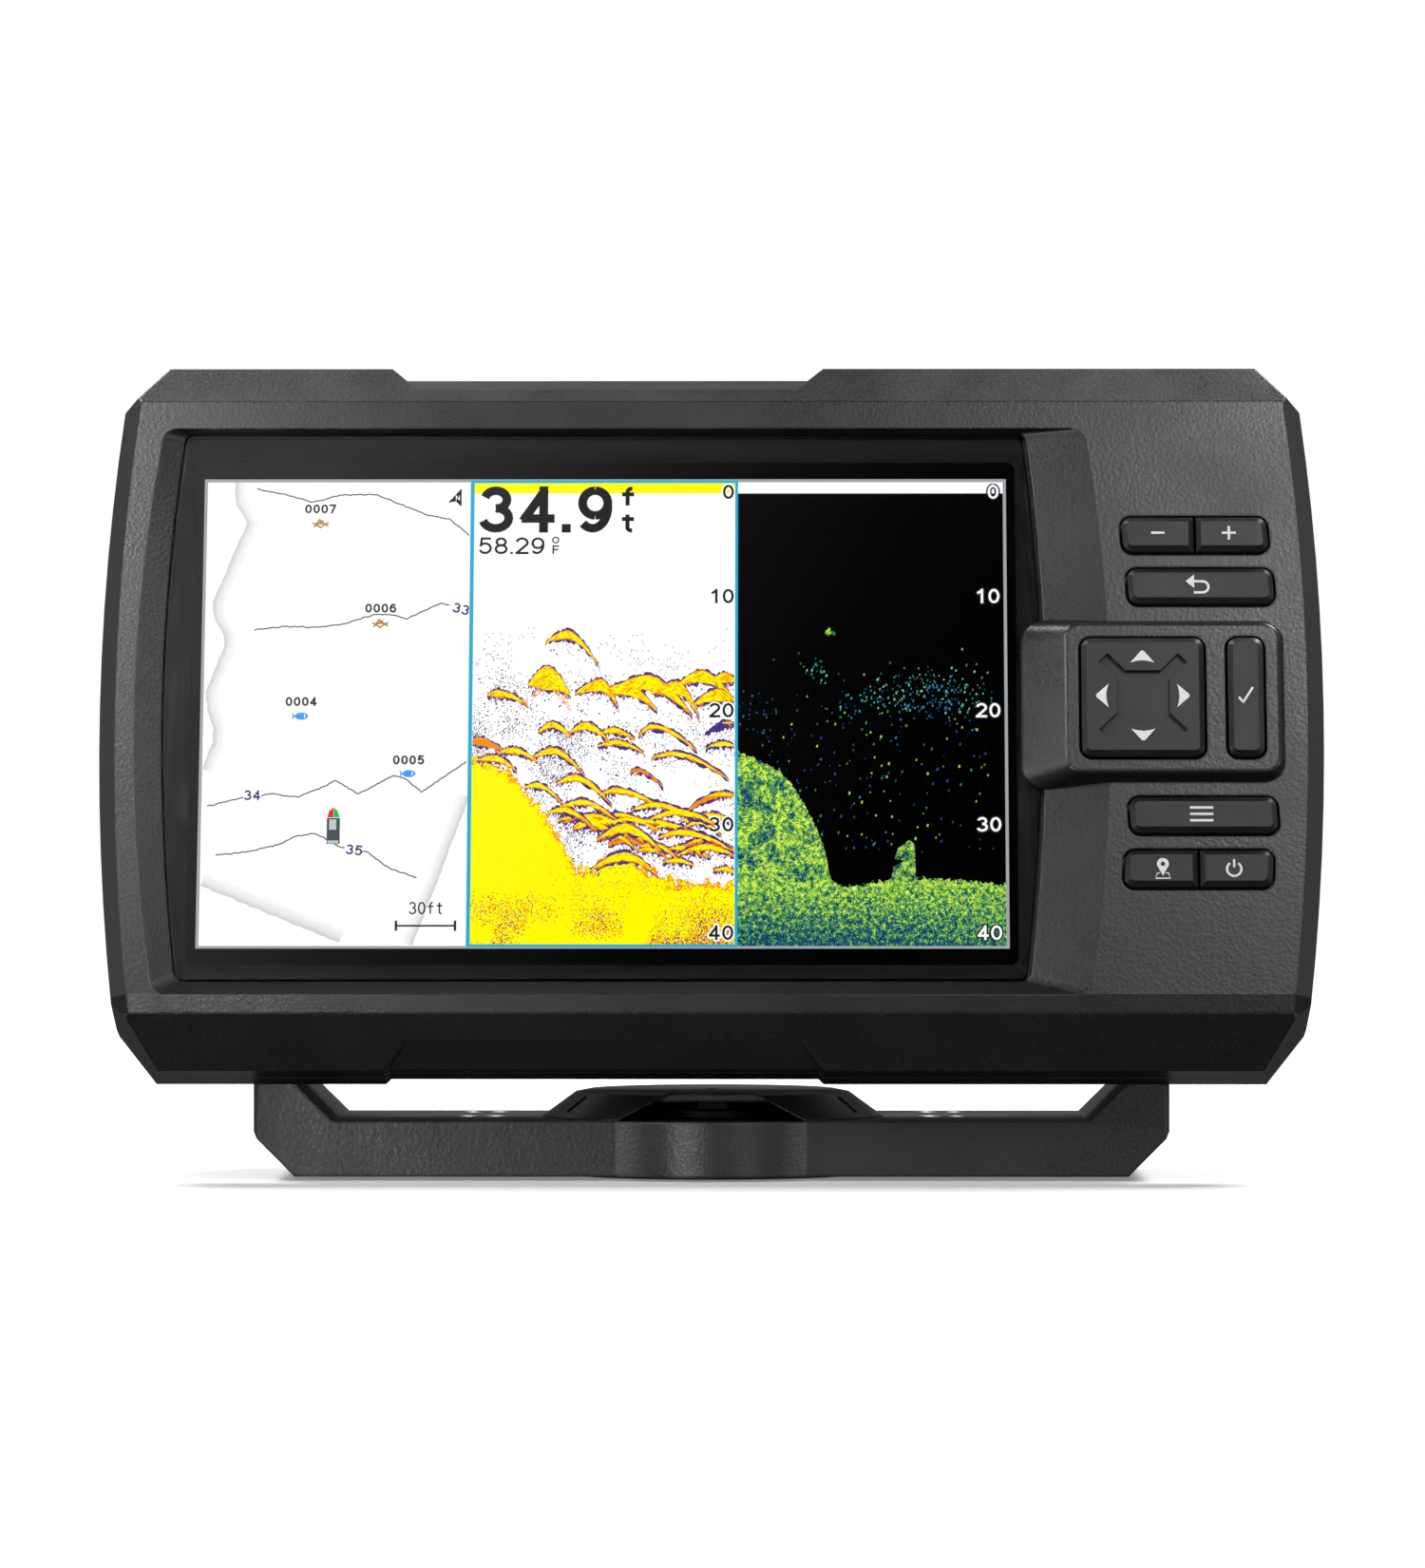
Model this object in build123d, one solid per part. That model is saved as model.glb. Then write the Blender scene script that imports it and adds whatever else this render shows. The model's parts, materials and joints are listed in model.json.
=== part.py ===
from build123d import *
import math
import os

# Fish finder: a 7-inch head unit with keys, on a tilt and swivel bail bracket.
# The head is modelled upright in its own frame: X to the right, Y into the unit from the
# front face, Z up, origin at the centre of the front face. It is then set on the bracket.
# The bracket is modelled in the part's frame: origin on the swivel axis, at the surface
# that the base is screwed to, with the screen facing -Y.

# ---- driving dimensions, millimetres ----
REST_TILT = 14.5               # lean of the head from upright
FACE_CENTRE = (0, -30, 89.75)  # centre of the front face, in the part's frame
PIVOT_DEPTH = 33               # tilt axis, behind the front face
RUNNING_GAP = 0.05             # radial clearance of turning fits
SEAT_GAP = 0.05                # between flat faces that slide or rest on each other
WALL = 2.5

CASE_BOW = 116.3               # half width at mid height
CASE_TOP = 69.3                # half height
SIDE_HIGH = (112.45, 62.0)     # upper end of the bowed side
UPPER_CORNER = (105.95, CASE_TOP)
SIDE_LOW = (112.5, -60.0)      # lower end of the bowed side
LOWER_CORNER = (105.2, -CASE_TOP)
FRONT_TOP = 60.7               # height of the flat front above its centre
FRONT_BOTTOM = 59.6            # and below it
UPPER_FACET_X = 110.8          # where the leaning corner facets reach the front
LOWER_FACET_X = 110.3
SLOPE_DEPTH = 6.4              # how far back the top and bottom slopes run
FLANK_CHAMFER = 3.2
SEAM_FRONT = 12.2
SEAM_BACK = 13.2
RIM_BACK = 18.6
RIM_CHAMFER = 0.5
SHELL_LIP = 4.5                # width of solid rim around the display ledge

NOTCH_X = -20.15               # centre of the top and bottom notches, over the screen
NOTCH_OUTER_HALF = 41.5
NOTCH_INNER_HALF = 36.5
NOTCH_FLOOR = 68.2
NOTCH_LOW = 63.9               # the ramp up to the notch floor starts here
NOTCH_START = 2.4
NOTCH_LEVEL = 10.5             # and ends at this depth

RECESS_DEPTH = 2.5             # the glass lies this far behind the front face
GLASS_THICK = 1.8
GLASS_GAP = 0.35
ADHESIVE_THICK = 0.3
LEDGE_THICK = 1.6
GLASS_BACK = RECESS_DEPTH + GLASS_THICK
LEDGE_FRONT = GLASS_BACK + ADHESIVE_THICK
LEDGE_BACK = LEDGE_FRONT + LEDGE_THICK
LCD_FRONT = GLASS_BACK + 0.5
SCREEN_X = -20.46              # centre of the active display
SCREEN_WIDTH = 152.4
SCREEN_HEIGHT = 91.44

KEY_CAVITY_LEFT = 68.5         # the keypad bay inside the case begins here
KEY_RISE = 1.5
KEY_GAP = 0.5
KEY_CHAMFER = 1.0
KEY_FLANGE = 1.0
KEY_BACK = 3.9                 # depth of the back of each key's flange
KEY_SPLIT = 0.25               # half the gap between two keys that share a well
WELL_RADIUS = 2.4
MEMBRANE_FRONT = 4.8
MEMBRANE_BACK = 5.6
KEYBOARD_FRONT = 6.4
KEYBOARD_BACK = 8.0

ISLAND_RISE = 3.0
DPAD_X = 81.67
DPAD_Z = 0.83
DPAD_WELL = 24.15
GROOVE_DEPTH = 1.0             # diagonal grooves in the direction key

BACKLIGHT_BACK = 8.7

BODY_BACK = 48.0
BODY_SIDE = 76.0
BODY_TOP = 57.0
BODY_BACK_SIDE = 72.0
BODY_BACK_TOP = 45.0
BODY_CORNER = 9.0
BOARD_FRONT = 22.0
BOARD_BACK = 23.6
VENT_X = 30.0                  # breather vent, below the cooling grooves
VENT_Z = -24.0
VENT_RADIUS = 4.0

SOCKET_POCKET_FLOOR = 40.0
SOCKET_MOUTH = 50.0
SOCKET_Z = -24.0
SOCKET_BORE = 6.5
SOCKET_BORE_LENGTH = 6.0

BOSS_FACE = 80.5               # outer face of the tilt bosses on the head
ARM_INNER = 82.0
ARM_OUTER = 87.0
ARM_END_RADIUS = 11.5
FLOOR_TOP = 11.0
FLOOR_LOW = 0.5
BAIL_CORNER = 7.8              # 45 degree cut under each arm
BAIL_HALF_DEPTH = 27.5
ARM_UPRIGHT = 19.5             # the arms' front edges are upright to this height
HUB_RADIUS = 33.0
SLIT_ANGLE = 62                # release slits in the hub cover, degrees from the front
KNOB_RADIUS = 13.2
KNOB_FACE = 88.25              # inner face of the tilt knobs
KNOB_END = 104.0
STUD_RADIUS = 3.0

PAD_TOP = 0.8
BASE_RADIUS = 30.0
BASE_TOP = 5.0
POST_RADIUS = 9.0
WEB_LOW = 6.0                  # underside of the bail over the base
SWIVEL_LIMIT = 80              # degrees each way
STOP_PIN_ORBIT = 26.5
STOP_PIN_RADIUS = 1.8
BASE_SCREW_ORBIT = 22.0
BASE_SCREW_RADIUS = 2.2
BAIL_SCREW_X = 44.5
BAIL_SCREW_Y = (0.0, 21.0)
BAIL_SCREW_RADIUS = 2.6

HEAD = Location(FACE_CENTRE, (-REST_TILT, 0, 0))
PIVOT = (HEAD * Location((0, PIVOT_DEPTH, 0))).position

# Well of each key row: left, right, bottom, top, and the lean of its ends
WELLS = {
    "zoom": (78.1, 106.7, 29.9, 37.7, -0.6),
    "back": (79.0, 107.6, 19.6, 27.5, -0.5),
    "menu": (78.9, 107.6, -25.4, -17.45, -0.5),
    "mark": (77.3, 106.1, -35.9, -27.8, 0.5),
    "select": (97.3, 105.0, -11.25, 13.0, 0.0),
}
CASE_SCREW_CORNERS = [(-108.6, 40.0), (-72.0, 62.7), (32.0, 62.7), (107.0, 50.0)]
CASE_SCREWS = [(x, side * z) for x, z in CASE_SCREW_CORNERS for side in (-1, 1)]
BOARD_SCREWS = [(x, z) for x in (-60.0, 60.0) for z in (-36.0, 36.0)]
SOCKETS = {"power": -22.0, "transducer": -46.0}

parts = {}


# ---- drawing helpers ----
def face_plane(depth):
    """Plane parallel to the front face, seen from the front: X right, Z up."""
    return Plane(origin=(0, depth, 0), x_dir=(1, 0, 0), z_dir=(0, -1, 0))


def slab(outline, front, back):
    """A front-view outline carried from one depth to another."""
    return extrude(face_plane(back) * outline, amount=back - front)


def taper(front_outline, front, back_outline, back):
    """A straight-sided transition between two front-view outlines."""
    return loft([face_plane(back) * back_outline, face_plane(front) * front_outline], ruled=True)


def side_prism(points, x0, x1):
    """A side-view outline of (Y, Z) points, carried along X."""
    outline = Plane.YZ.offset(x0) * make_face(Polyline(*points, close=True))
    return extrude(outline, amount=x1 - x0)


def block(x0, x1, y0, y1, z0, z1):
    centre = ((x0 + x1) / 2, (y0 + y1) / 2, (z0 + z1) / 2)
    return Pos(*centre) * Box(x1 - x0, y1 - y0, z1 - z0)


def rod_x(y, z, radius, x0, x1):
    return Pos((x0 + x1) / 2, y, z) * Rot(0, 90, 0) * Cylinder(radius, abs(x1 - x0))


def rod_y(x, z, radius, y0, y1):
    return Pos(x, (y0 + y1) / 2, z) * Rot(90, 0, 0) * Cylinder(radius, abs(y1 - y0))


def rod_z(x, y, radius, z0, z1):
    return Pos(x, y, (z0 + z1) / 2) * Cylinder(radius, abs(z1 - z0))


def ring_z(outer, inner, z0, z1):
    return rod_z(0, 0, outer, z0, z1) - rod_z(0, 0, inner, z0 - 1, z1 + 1)


def mirror_x(solid):
    return mirror(solid, Plane.YZ)


def mirror_z(solid):
    return mirror(solid, Plane.XY)


def group(pieces):
    return Compound(children=[solid for piece in pieces for solid in piece.solids()])


# ---- outlines, front view ----
def opposite(point):
    return (-point[0], point[1])


def case_outline(inset=0.0):
    """Case silhouette: flat top and bottom, cut corners, bowed sides."""
    left_bow = ThreePointArc(opposite(SIDE_HIGH), (-CASE_BOW, 0), opposite(SIDE_LOW))
    edges = [
        ThreePointArc(SIDE_LOW, (CASE_BOW, 0), SIDE_HIGH),
        Line(SIDE_HIGH, UPPER_CORNER),
        Line(UPPER_CORNER, opposite(UPPER_CORNER)),
        Line(opposite(UPPER_CORNER), opposite(SIDE_HIGH)),
        left_bow,
        Line(opposite(SIDE_LOW), opposite(LOWER_CORNER)),
        Line(opposite(LOWER_CORNER), LOWER_CORNER),
        Line(LOWER_CORNER, SIDE_LOW),
    ]
    outline = make_face(edges)
    return offset(outline, -inset, kind=Kind.INTERSECTION) if inset else outline


def flank_outline(inset=0.0):
    """The two bowed sides carried on past the corners."""
    bow = ThreePointArc(SIDE_LOW, (CASE_BOW, 0), SIDE_HIGH)
    centre = bow.arc_center
    disc = Circle(bow.radius - inset)
    lens = Pos(centre.X, centre.Y) * disc & Pos(-centre.X, centre.Y) * disc
    return lens & Rectangle(2 * CASE_BOW + 20, 2 * CASE_TOP + 20)


def screen_outline(left, right, bow_left, bow_right, bottom, top, radius):
    """Opening with a straight top and bottom, and sides that bow outwards."""
    middle = (bottom + top) / 2
    edges = [
        Line((left, bottom), (right, bottom)),
        ThreePointArc((right, bottom), (right + bow_right, middle), (right, top)),
        Line((right, top), (left, top)),
        ThreePointArc((left, top), (left - bow_left, middle), (left, bottom)),
    ]
    outline = make_face(edges)
    return fillet(outline.vertices(), radius)


def recess_outline():
    return screen_outline(-104.95, 71.2, 4.6, 4.4, -56.1, 55.2, 3.0)


def glass_outline(grow=0.0):
    sides = (-100.6 - grow, 59.75 + grow, 3.5, 3.35)
    return screen_outline(*sides, -52.65 - grow, 54.7 + grow, 1.8 + grow)


def round_rectangle(width, height, radius, x=0.0, z=0.0):
    outline = Rectangle(width, height)
    return Pos(x, z) * fillet(outline.vertices(), radius)


def window_outline():
    """The clear window in the ledge behind the glass."""
    return round_rectangle(SCREEN_WIDTH + 4, SCREEN_HEIGHT + 7, 1.5, SCREEN_X)


def well_outline(name, grow=0.0):
    """Key well, with ends that lean to follow the bowed side of the case."""
    left, right, bottom, top, lean = WELLS[name]
    corners = [
        (left - grow, bottom - grow),
        (right + grow, bottom - grow),
        (right + lean + grow, top + grow),
        (left + lean - grow, top + grow),
    ]
    outline = make_face(Polyline(*corners, close=True))
    return fillet(outline.vertices(), WELL_RADIUS + grow)


def dpad_outline(grow=0.0):
    size = DPAD_WELL + 2 * grow
    return round_rectangle(size, size, WELL_RADIUS + grow, DPAD_X, DPAD_Z)


# ---- case shells ----
def slope_cut(edge):
    """Material in front of a slope that rises from this height at the front to the case top."""
    reach = 9
    rise = (CASE_TOP - edge) / SLOPE_DEPTH
    points = [
        (-reach, edge - reach * rise),
        (SLOPE_DEPTH, CASE_TOP),
        (SLOPE_DEPTH, CASE_TOP + reach),
        (-reach, CASE_TOP + reach),
    ]
    return side_prism(points, -CASE_BOW - reach, CASE_BOW + reach)


def corner_cut(side_end, corner, front_x, front_height):
    """Material outside the leaning facet of one corner, from the front face to the seam."""
    foot = Vector(side_end[0], SEAM_FRONT, side_end[1])
    along = Vector(corner[0], SEAM_FRONT, corner[1]) - foot
    front = Vector(front_x, 0, front_height)
    normal = along.cross(front - foot)
    if normal.X < 0:
        normal = -normal
    facet = Plane(origin=foot, x_dir=along, z_dir=normal)
    return extrude(facet * Rectangle(60, 60), amount=30)


def notch_cuts():
    """Shallow trapezoid channels in the top and bottom edges, over the screen."""
    floor = [
        (-9, NOTCH_LOW),
        (NOTCH_START, NOTCH_LOW),
        (NOTCH_LEVEL, NOTCH_FLOOR),
        (RIM_BACK + 5, NOTCH_FLOOR),
        (RIM_BACK + 5, CASE_TOP + 5),
        (-9, CASE_TOP + 5),
    ]
    flare = (NOTCH_OUTER_HALF - NOTCH_INNER_HALF) / (CASE_TOP - NOTCH_LOW)
    top_half = NOTCH_OUTER_HALF + 5 * flare
    front_view = make_face(Polyline(
        (NOTCH_X - NOTCH_INNER_HALF, NOTCH_LOW),
        (NOTCH_X + NOTCH_INNER_HALF, NOTCH_LOW),
        (NOTCH_X + top_half, CASE_TOP + 5),
        (NOTCH_X - top_half, CASE_TOP + 5),
        close=True,
    ))
    channel = side_prism(floor, -CASE_BOW, CASE_BOW) & slab(front_view, -9, RIM_BACK + 5)
    return [channel, mirror_z(channel)]


def island():
    """Raised pad around the direction keys, with a long wedge over the glass edge."""
    top = make_face(Polyline((67.2, -13.7), (107.6, -13.7), (107.6, 15.5), (67.2, 15.5), close=True))
    foot = make_face(Polyline((58.7, -15.7), (109.3, -15.7), (109.3, 17.6), (58.7, 17.6), close=True))
    top = fillet(top.vertices(), 3.0)
    foot = fillet(foot.vertices(), 4.6)
    body = taper(top, -ISLAND_RISE, foot, RECESS_DEPTH - 0.2)
    rim = body.faces().sort_by(Axis.Y)[0].edges()
    return fillet(rim, 0.9)


def front_bezel():
    shell = slab(case_outline(), 0, FLANK_CHAMFER)
    shell &= taper(flank_outline(FLANK_CHAMFER), 0, flank_outline(), FLANK_CHAMFER)
    shell += slab(case_outline(), FLANK_CHAMFER, SEAM_FRONT)
    shell -= [slope_cut(FRONT_TOP), mirror_z(slope_cut(FRONT_BOTTOM))]
    upper = corner_cut(SIDE_HIGH, UPPER_CORNER, UPPER_FACET_X, FRONT_TOP)
    lower = corner_cut(SIDE_LOW, LOWER_CORNER, LOWER_FACET_X, -FRONT_BOTTOM)
    shell -= [upper, mirror_x(upper), lower, mirror_x(lower)]
    shell -= notch_cuts()
    shell -= taper(recess_outline(), 0, glass_outline(GLASS_GAP), RECESS_DEPTH)
    shell -= slab(glass_outline(GLASS_GAP), RECESS_DEPTH - 0.01, LEDGE_FRONT)
    shell -= slab(window_outline(), 0, SEAM_FRONT)
    shell -= slab(case_outline(SHELL_LIP), LEDGE_BACK, SEAM_FRONT)
    shell -= slab(case_outline(WALL), SLOPE_DEPTH + 2.5, SEAM_FRONT) - notch_backing()
    bay = block(KEY_CAVITY_LEFT, CASE_BOW, WALL, LEDGE_BACK + 0.1, -56, 56)
    shell -= bay & slab(case_outline(6.0), 0, SEAM_FRONT)
    shell += island()
    shell -= [slab(well_outline(name), -9, WALL + 0.01) for name in WELLS]
    shell -= slab(dpad_outline(), -9, WALL + 0.01)
    for x, z in CASE_SCREWS:
        post = rod_y(x, z, 3.4, LEDGE_BACK - 0.2, SEAM_FRONT)
        shell += post & slab(case_outline(1.0), 0, SEAM_FRONT)
        shell -= rod_y(x, z, 1.5, LEDGE_BACK + 1.2, SEAM_FRONT + 1)
    return shell


def notch_backing():
    """Keeps the case wall thick behind the notches."""
    half = NOTCH_OUTER_HALF + 2
    top = block(NOTCH_X - half, NOTCH_X + half, 0, RIM_BACK, NOTCH_FLOOR - WALL, CASE_TOP)
    return top + mirror_z(top)


def case_gasket():
    ring = slab(case_outline(), SEAM_FRONT, SEAM_BACK)
    ring -= slab(case_outline(WALL), SEAM_FRONT - 1, SEAM_BACK + 1) - notch_backing()
    return ring - notch_cuts()


def body_shape(inset=0.0):
    """Rear part of the housing, which narrows towards the back."""
    front = round_rectangle(2 * (BODY_SIDE - inset), 2 * (BODY_TOP - inset), BODY_CORNER - inset)
    back_size = (2 * (BODY_BACK_SIDE - inset), 2 * (BODY_BACK_TOP - inset))
    back = round_rectangle(*back_size, BODY_CORNER - inset)
    return taper(front, RIM_BACK - 2.6, back, BODY_BACK - inset)


def socket_pocket():
    return round_rectangle(52, 28, 4, sum(SOCKETS.values()) / 2, SOCKET_Z)


def rear_housing():
    rim = slab(case_outline(), SEAM_BACK, RIM_BACK)
    back_edges = rim.faces().sort_by(Axis.Y)[-1].edges()
    rim = chamfer(back_edges, RIM_CHAMFER)
    outer = body_shape()
    back_edges = outer.faces().sort_by(Axis.Y)[-1].edges()
    outer = fillet(back_edges, 2.0)
    housing = rim + outer - notch_cuts()
    for x0, x1 in ((-BOSS_FACE, -BODY_SIDE + 10), (BODY_SIDE - 10, BOSS_FACE)):
        housing += rod_x(PIVOT_DEPTH, 0, 12.0, x0, x1)
    hollow = slab(case_outline(WALL), SEAM_BACK - 1, RIM_BACK - WALL) - notch_backing()
    housing -= hollow
    housing -= body_shape(WALL) - slab(socket_pocket(), SOCKET_POCKET_FLOOR - 2, BODY_BACK)
    pocket_wall = offset(socket_pocket(), 2.0)
    inside = body_shape(WALL - 0.1)
    housing += slab(pocket_wall, SOCKET_POCKET_FLOOR - 2, BODY_BACK - 1) & inside
    housing -= slab(socket_pocket(), SOCKET_POCKET_FLOOR, BODY_BACK + 5)
    for x in SOCKETS.values():
        housing -= rod_y(x, SOCKET_Z, 8.6, SOCKET_POCKET_FLOOR - 5, SOCKET_POCKET_FLOOR + 5)
    for side in (-1, 1):
        housing += rod_x(PIVOT_DEPTH, 0, 7.5, side * (BODY_SIDE - 14), side * BOSS_FACE)
        housing -= rod_x(PIVOT_DEPTH, 0, 5.0, side * (BODY_SIDE - 12), side * (BOSS_FACE + 1))
    for x, z in BOARD_SCREWS:
        housing += rod_y(x, z, 3.4, BOARD_BACK, BODY_BACK - WALL) & body_shape(1.0)
        housing -= rod_y(x, z, 1.1, BOARD_BACK - 1, BOARD_BACK + 9)
    for x, z in CASE_SCREWS:
        post = rod_y(x, z, 4.0, SEAM_BACK, RIM_BACK - 1)
        housing += post & slab(case_outline(1.0), SEAM_BACK, RIM_BACK)
        housing -= rod_y(x, z, 1.6, SEAM_BACK - 1, RIM_BACK + 1)
        housing -= rod_y(x, z, 3.0, RIM_BACK - 2.2, RIM_BACK + 1)
    housing -= cooling_grooves()
    housing -= rod_y(VENT_X, VENT_Z, VENT_RADIUS, BODY_BACK - WALL - 1, BODY_BACK + 1)
    return housing


def cooling_grooves():
    """Shallow upright grooves across the upper back."""
    count = 13
    pitch = 8.0
    first = -pitch * (count - 1) / 2
    grooves = []
    for i in range(count):
        outline = round_rectangle(3.4, 40, 1.6, first + i * pitch, 18)
        grooves.append(slab(outline, BODY_BACK - 1.3, BODY_BACK + 1))
    return grooves


def breather_vent():
    plug = rod_y(VENT_X, VENT_Z, VENT_RADIUS - SEAT_GAP, BODY_BACK - WALL, BODY_BACK)
    plug += rod_y(VENT_X, VENT_Z, 6.0, BODY_BACK, BODY_BACK + 1.4)
    plug -= rod_y(VENT_X, VENT_Z, 1.0, BODY_BACK - 1, BODY_BACK + 3)
    return plug


# ---- display stack ----
def display_pieces():
    window = window_outline()
    parts["display_glass"] = slab(glass_outline(), RECESS_DEPTH, GLASS_BACK)
    ring = slab(glass_outline(-0.5), GLASS_BACK, LEDGE_FRONT)
    parts["glass_adhesive"] = ring - slab(offset(window, 0.3), GLASS_BACK - 1, LEDGE_FRONT + 1)
    panel = round_rectangle(SCREEN_WIDTH + 2.6, SCREEN_HEIGHT + 5, 0.8, SCREEN_X)
    parts["lcd_panel"] = slab(panel, LCD_FRONT, LEDGE_BACK + 0.1)
    light = round_rectangle(165.6, 103.0, 1.5, SCREEN_X)
    parts["backlight_panel"] = slab(light, LEDGE_BACK + 0.1, BACKLIGHT_BACK)
    frame_front = BACKLIGHT_BACK + 0.1
    frame_back = frame_front + 0.8
    frame = slab(round_rectangle(168.0, 106.0, 2, SCREEN_X), frame_front, frame_back)
    frame -= slab(round_rectangle(60, 32, 3, SCREEN_X), frame_front - 1, frame_back + 1)
    tabs = [(x, z) for x, z in CASE_SCREWS if abs(z) > 60]
    for x, z in tabs:
        end = z - math.copysign(1.5, z)
        ear = block(x - 5, x + 5, frame_front, frame_back, min(end, 0), max(end, 0))
        ear -= slab(round_rectangle(60, 32, 3, SCREEN_X), frame_front - 1, frame_back + 1)
        clear = rod_y(x, z, 3.9, frame_front - 1, frame_back + 1)
        frame += ear - clear
    parts["display_frame"] = frame


# ---- boards and what they carry ----
def board_pieces():
    board = slab(round_rectangle(134, 92, 3), BOARD_FRONT, BOARD_BACK)
    board -= [rod_y(x, z, 1.3, BOARD_FRONT - 1, BOARD_BACK + 1) for x, z in BOARD_SCREWS]
    parts["main_board"] = board
    parts["processor_shield"] = block(-16, 16, BOARD_BACK, 26.2, 2, 34)
    parts["sonar_shield"] = block(-58, -26, BOARD_BACK, 28.0, 2, 30)
    parts["heat_spreader"] = block(-22, 22, 26.2, 27.8, -4, 40)
    coils = [block(x, x + 9, BOARD_BACK, 28.4, -42, -33) for x in (12, 24)]
    cans = [rod_y(x, -26, 4, BOARD_BACK, 33) for x in (40, 50)]
    parts["power_coils"] = group(coils)
    parts["capacitors"] = group(cans)
    parts["buzzer"] = rod_y(-48, -30, 8.5, BOARD_FRONT - 4, BOARD_FRONT)
    patch = block(24, 49, 25.6, 29.6, 12, 37)
    parts["gps_antenna"] = patch
    parts["antenna_board"] = block(22, 51, BOARD_BACK, 25.6, 10, 39)
    shanks = [rod_y(x, z, 1.0, BOARD_FRONT - 0.2, BOARD_BACK + 7) for x, z in BOARD_SCREWS]
    heads = [rod_y(x, z, 2.2, BOARD_FRONT - 1.8, BOARD_FRONT) for x, z in BOARD_SCREWS]
    parts["board_screws"] = group([head + shank for head, shank in zip(heads, shanks)])
    screws = []
    for x, z in CASE_SCREWS:
        screw = rod_y(x, z, 2.7, RIM_BACK - 2.2, RIM_BACK - 0.3) + rod_y(x, z, 1.4, 8.6, RIM_BACK - 2.2)
        recess = face_plane(RIM_BACK) * (Pos(x, z) * Rectangle(2.6, 0.7))
        cross = face_plane(RIM_BACK) * (Pos(x, z) * Rectangle(0.7, 2.6))
        screw -= extrude(recess, amount=1.2, both=True)
        screw -= extrude(cross, amount=1.2, both=True)
        screws.append(screw)
    parts["case_screws"] = group(screws)


def flex_cables():
    """Flat cables, folded square: display to main board, and keypad board to main board."""
    near = BACKLIGHT_BACK + 0.1
    far = BOARD_FRONT - 0.1
    thick = 0.3
    fold = 3.0
    bend = [
        (near, -12),
        (near, fold + thick),
        (far, fold + thick),
        (far, -14),
        (far - thick, -14),
        (far - thick, fold),
        (near + thick, fold),
        (near + thick, -12),
    ]
    parts["display_flex"] = side_prism(bend, -35, -5)
    near = KEYBOARD_BACK + 0.1
    corner = KEY_CAVITY_LEFT - 4.3
    route = [
        (76, near),
        (corner, near),
        (corner, far - thick),
        (58, far - thick),
        (58, far),
        (corner + thick, far),
        (corner + thick, near + thick),
        (76, near + thick),
    ]
    outline = Plane.XY.offset(-8) * make_face(Polyline(*route, close=True))
    parts["keypad_flex"] = extrude(outline, amount=16)


# ---- keys ----
def key_cap(outline, front):
    cap = slab(outline, front, KEY_BACK)
    edges = cap.faces().sort_by(Axis.Y)[0].edges()
    return chamfer(edges, KEY_CHAMFER)


def plain_key(name, front=-KEY_RISE):
    flange = slab(well_outline(name, KEY_FLANGE), WALL + SEAT_GAP, KEY_BACK)
    return key_cap(well_outline(name, -KEY_GAP), front) + flange


def half_key(name, side):
    """One of two keys that share a well: side is -1 for left, 1 for right."""
    left, right, bottom, top, lean = WELLS[name]
    middle = (left + right + lean) / 2
    edge = middle + side * KEY_SPLIT
    far = middle + side * 40
    low = bottom - 9
    high = top + 9
    keep = make_face(Polyline((edge, low), (far, low), (far, high), (edge, high), close=True))
    cap = key_cap(well_outline(name, -KEY_GAP) & keep, -KEY_RISE)
    flange = slab(well_outline(name, KEY_FLANGE) & keep, WALL + SEAT_GAP, KEY_BACK)
    return cap + flange


def dpad_key():
    front = -ISLAND_RISE - KEY_RISE
    outline = dpad_outline(-KEY_GAP)
    cap = slab(outline, front, WALL + 0.1)
    cap = chamfer(cap.faces().sort_by(Axis.Y)[0].edges(), KEY_CHAMFER)
    middle = round_rectangle(10, 10, 0.8, DPAD_X, DPAD_Z)
    arm = Rectangle(21.2, 2.4)
    cross = Pos(DPAD_X, DPAD_Z) * (Rot(0, 0, 45) * arm + Rot(0, 0, -45) * arm)
    cap -= slab(middle, front - 1, front + GROOVE_DEPTH)
    cap -= slab(cross, front - 1, front + GROOVE_DEPTH)
    for x, z in ((7.5, 0), (-7.5, 0), (0, 7.5), (0, -7.5)):
        cap += rod_y(DPAD_X + x, DPAD_Z + z, 1.2, WALL, 4.0)
    return cap


def dpad_actuator():
    """Rocking plate under the direction key: a ridge along X in front, along Z behind."""
    plate = block(DPAD_X - 5, DPAD_X + 5, 3.4, 4.1, DPAD_Z - 5, DPAD_Z + 5)
    ridge = block(DPAD_X - 5, DPAD_X + 5, 2.9, 3.5, DPAD_Z - 0.4, DPAD_Z + 0.4)
    keel = block(DPAD_X - 0.4, DPAD_X + 0.4, 4.0, 4.5, DPAD_Z - 5, DPAD_Z + 5)
    return plate + ridge + keel


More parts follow.
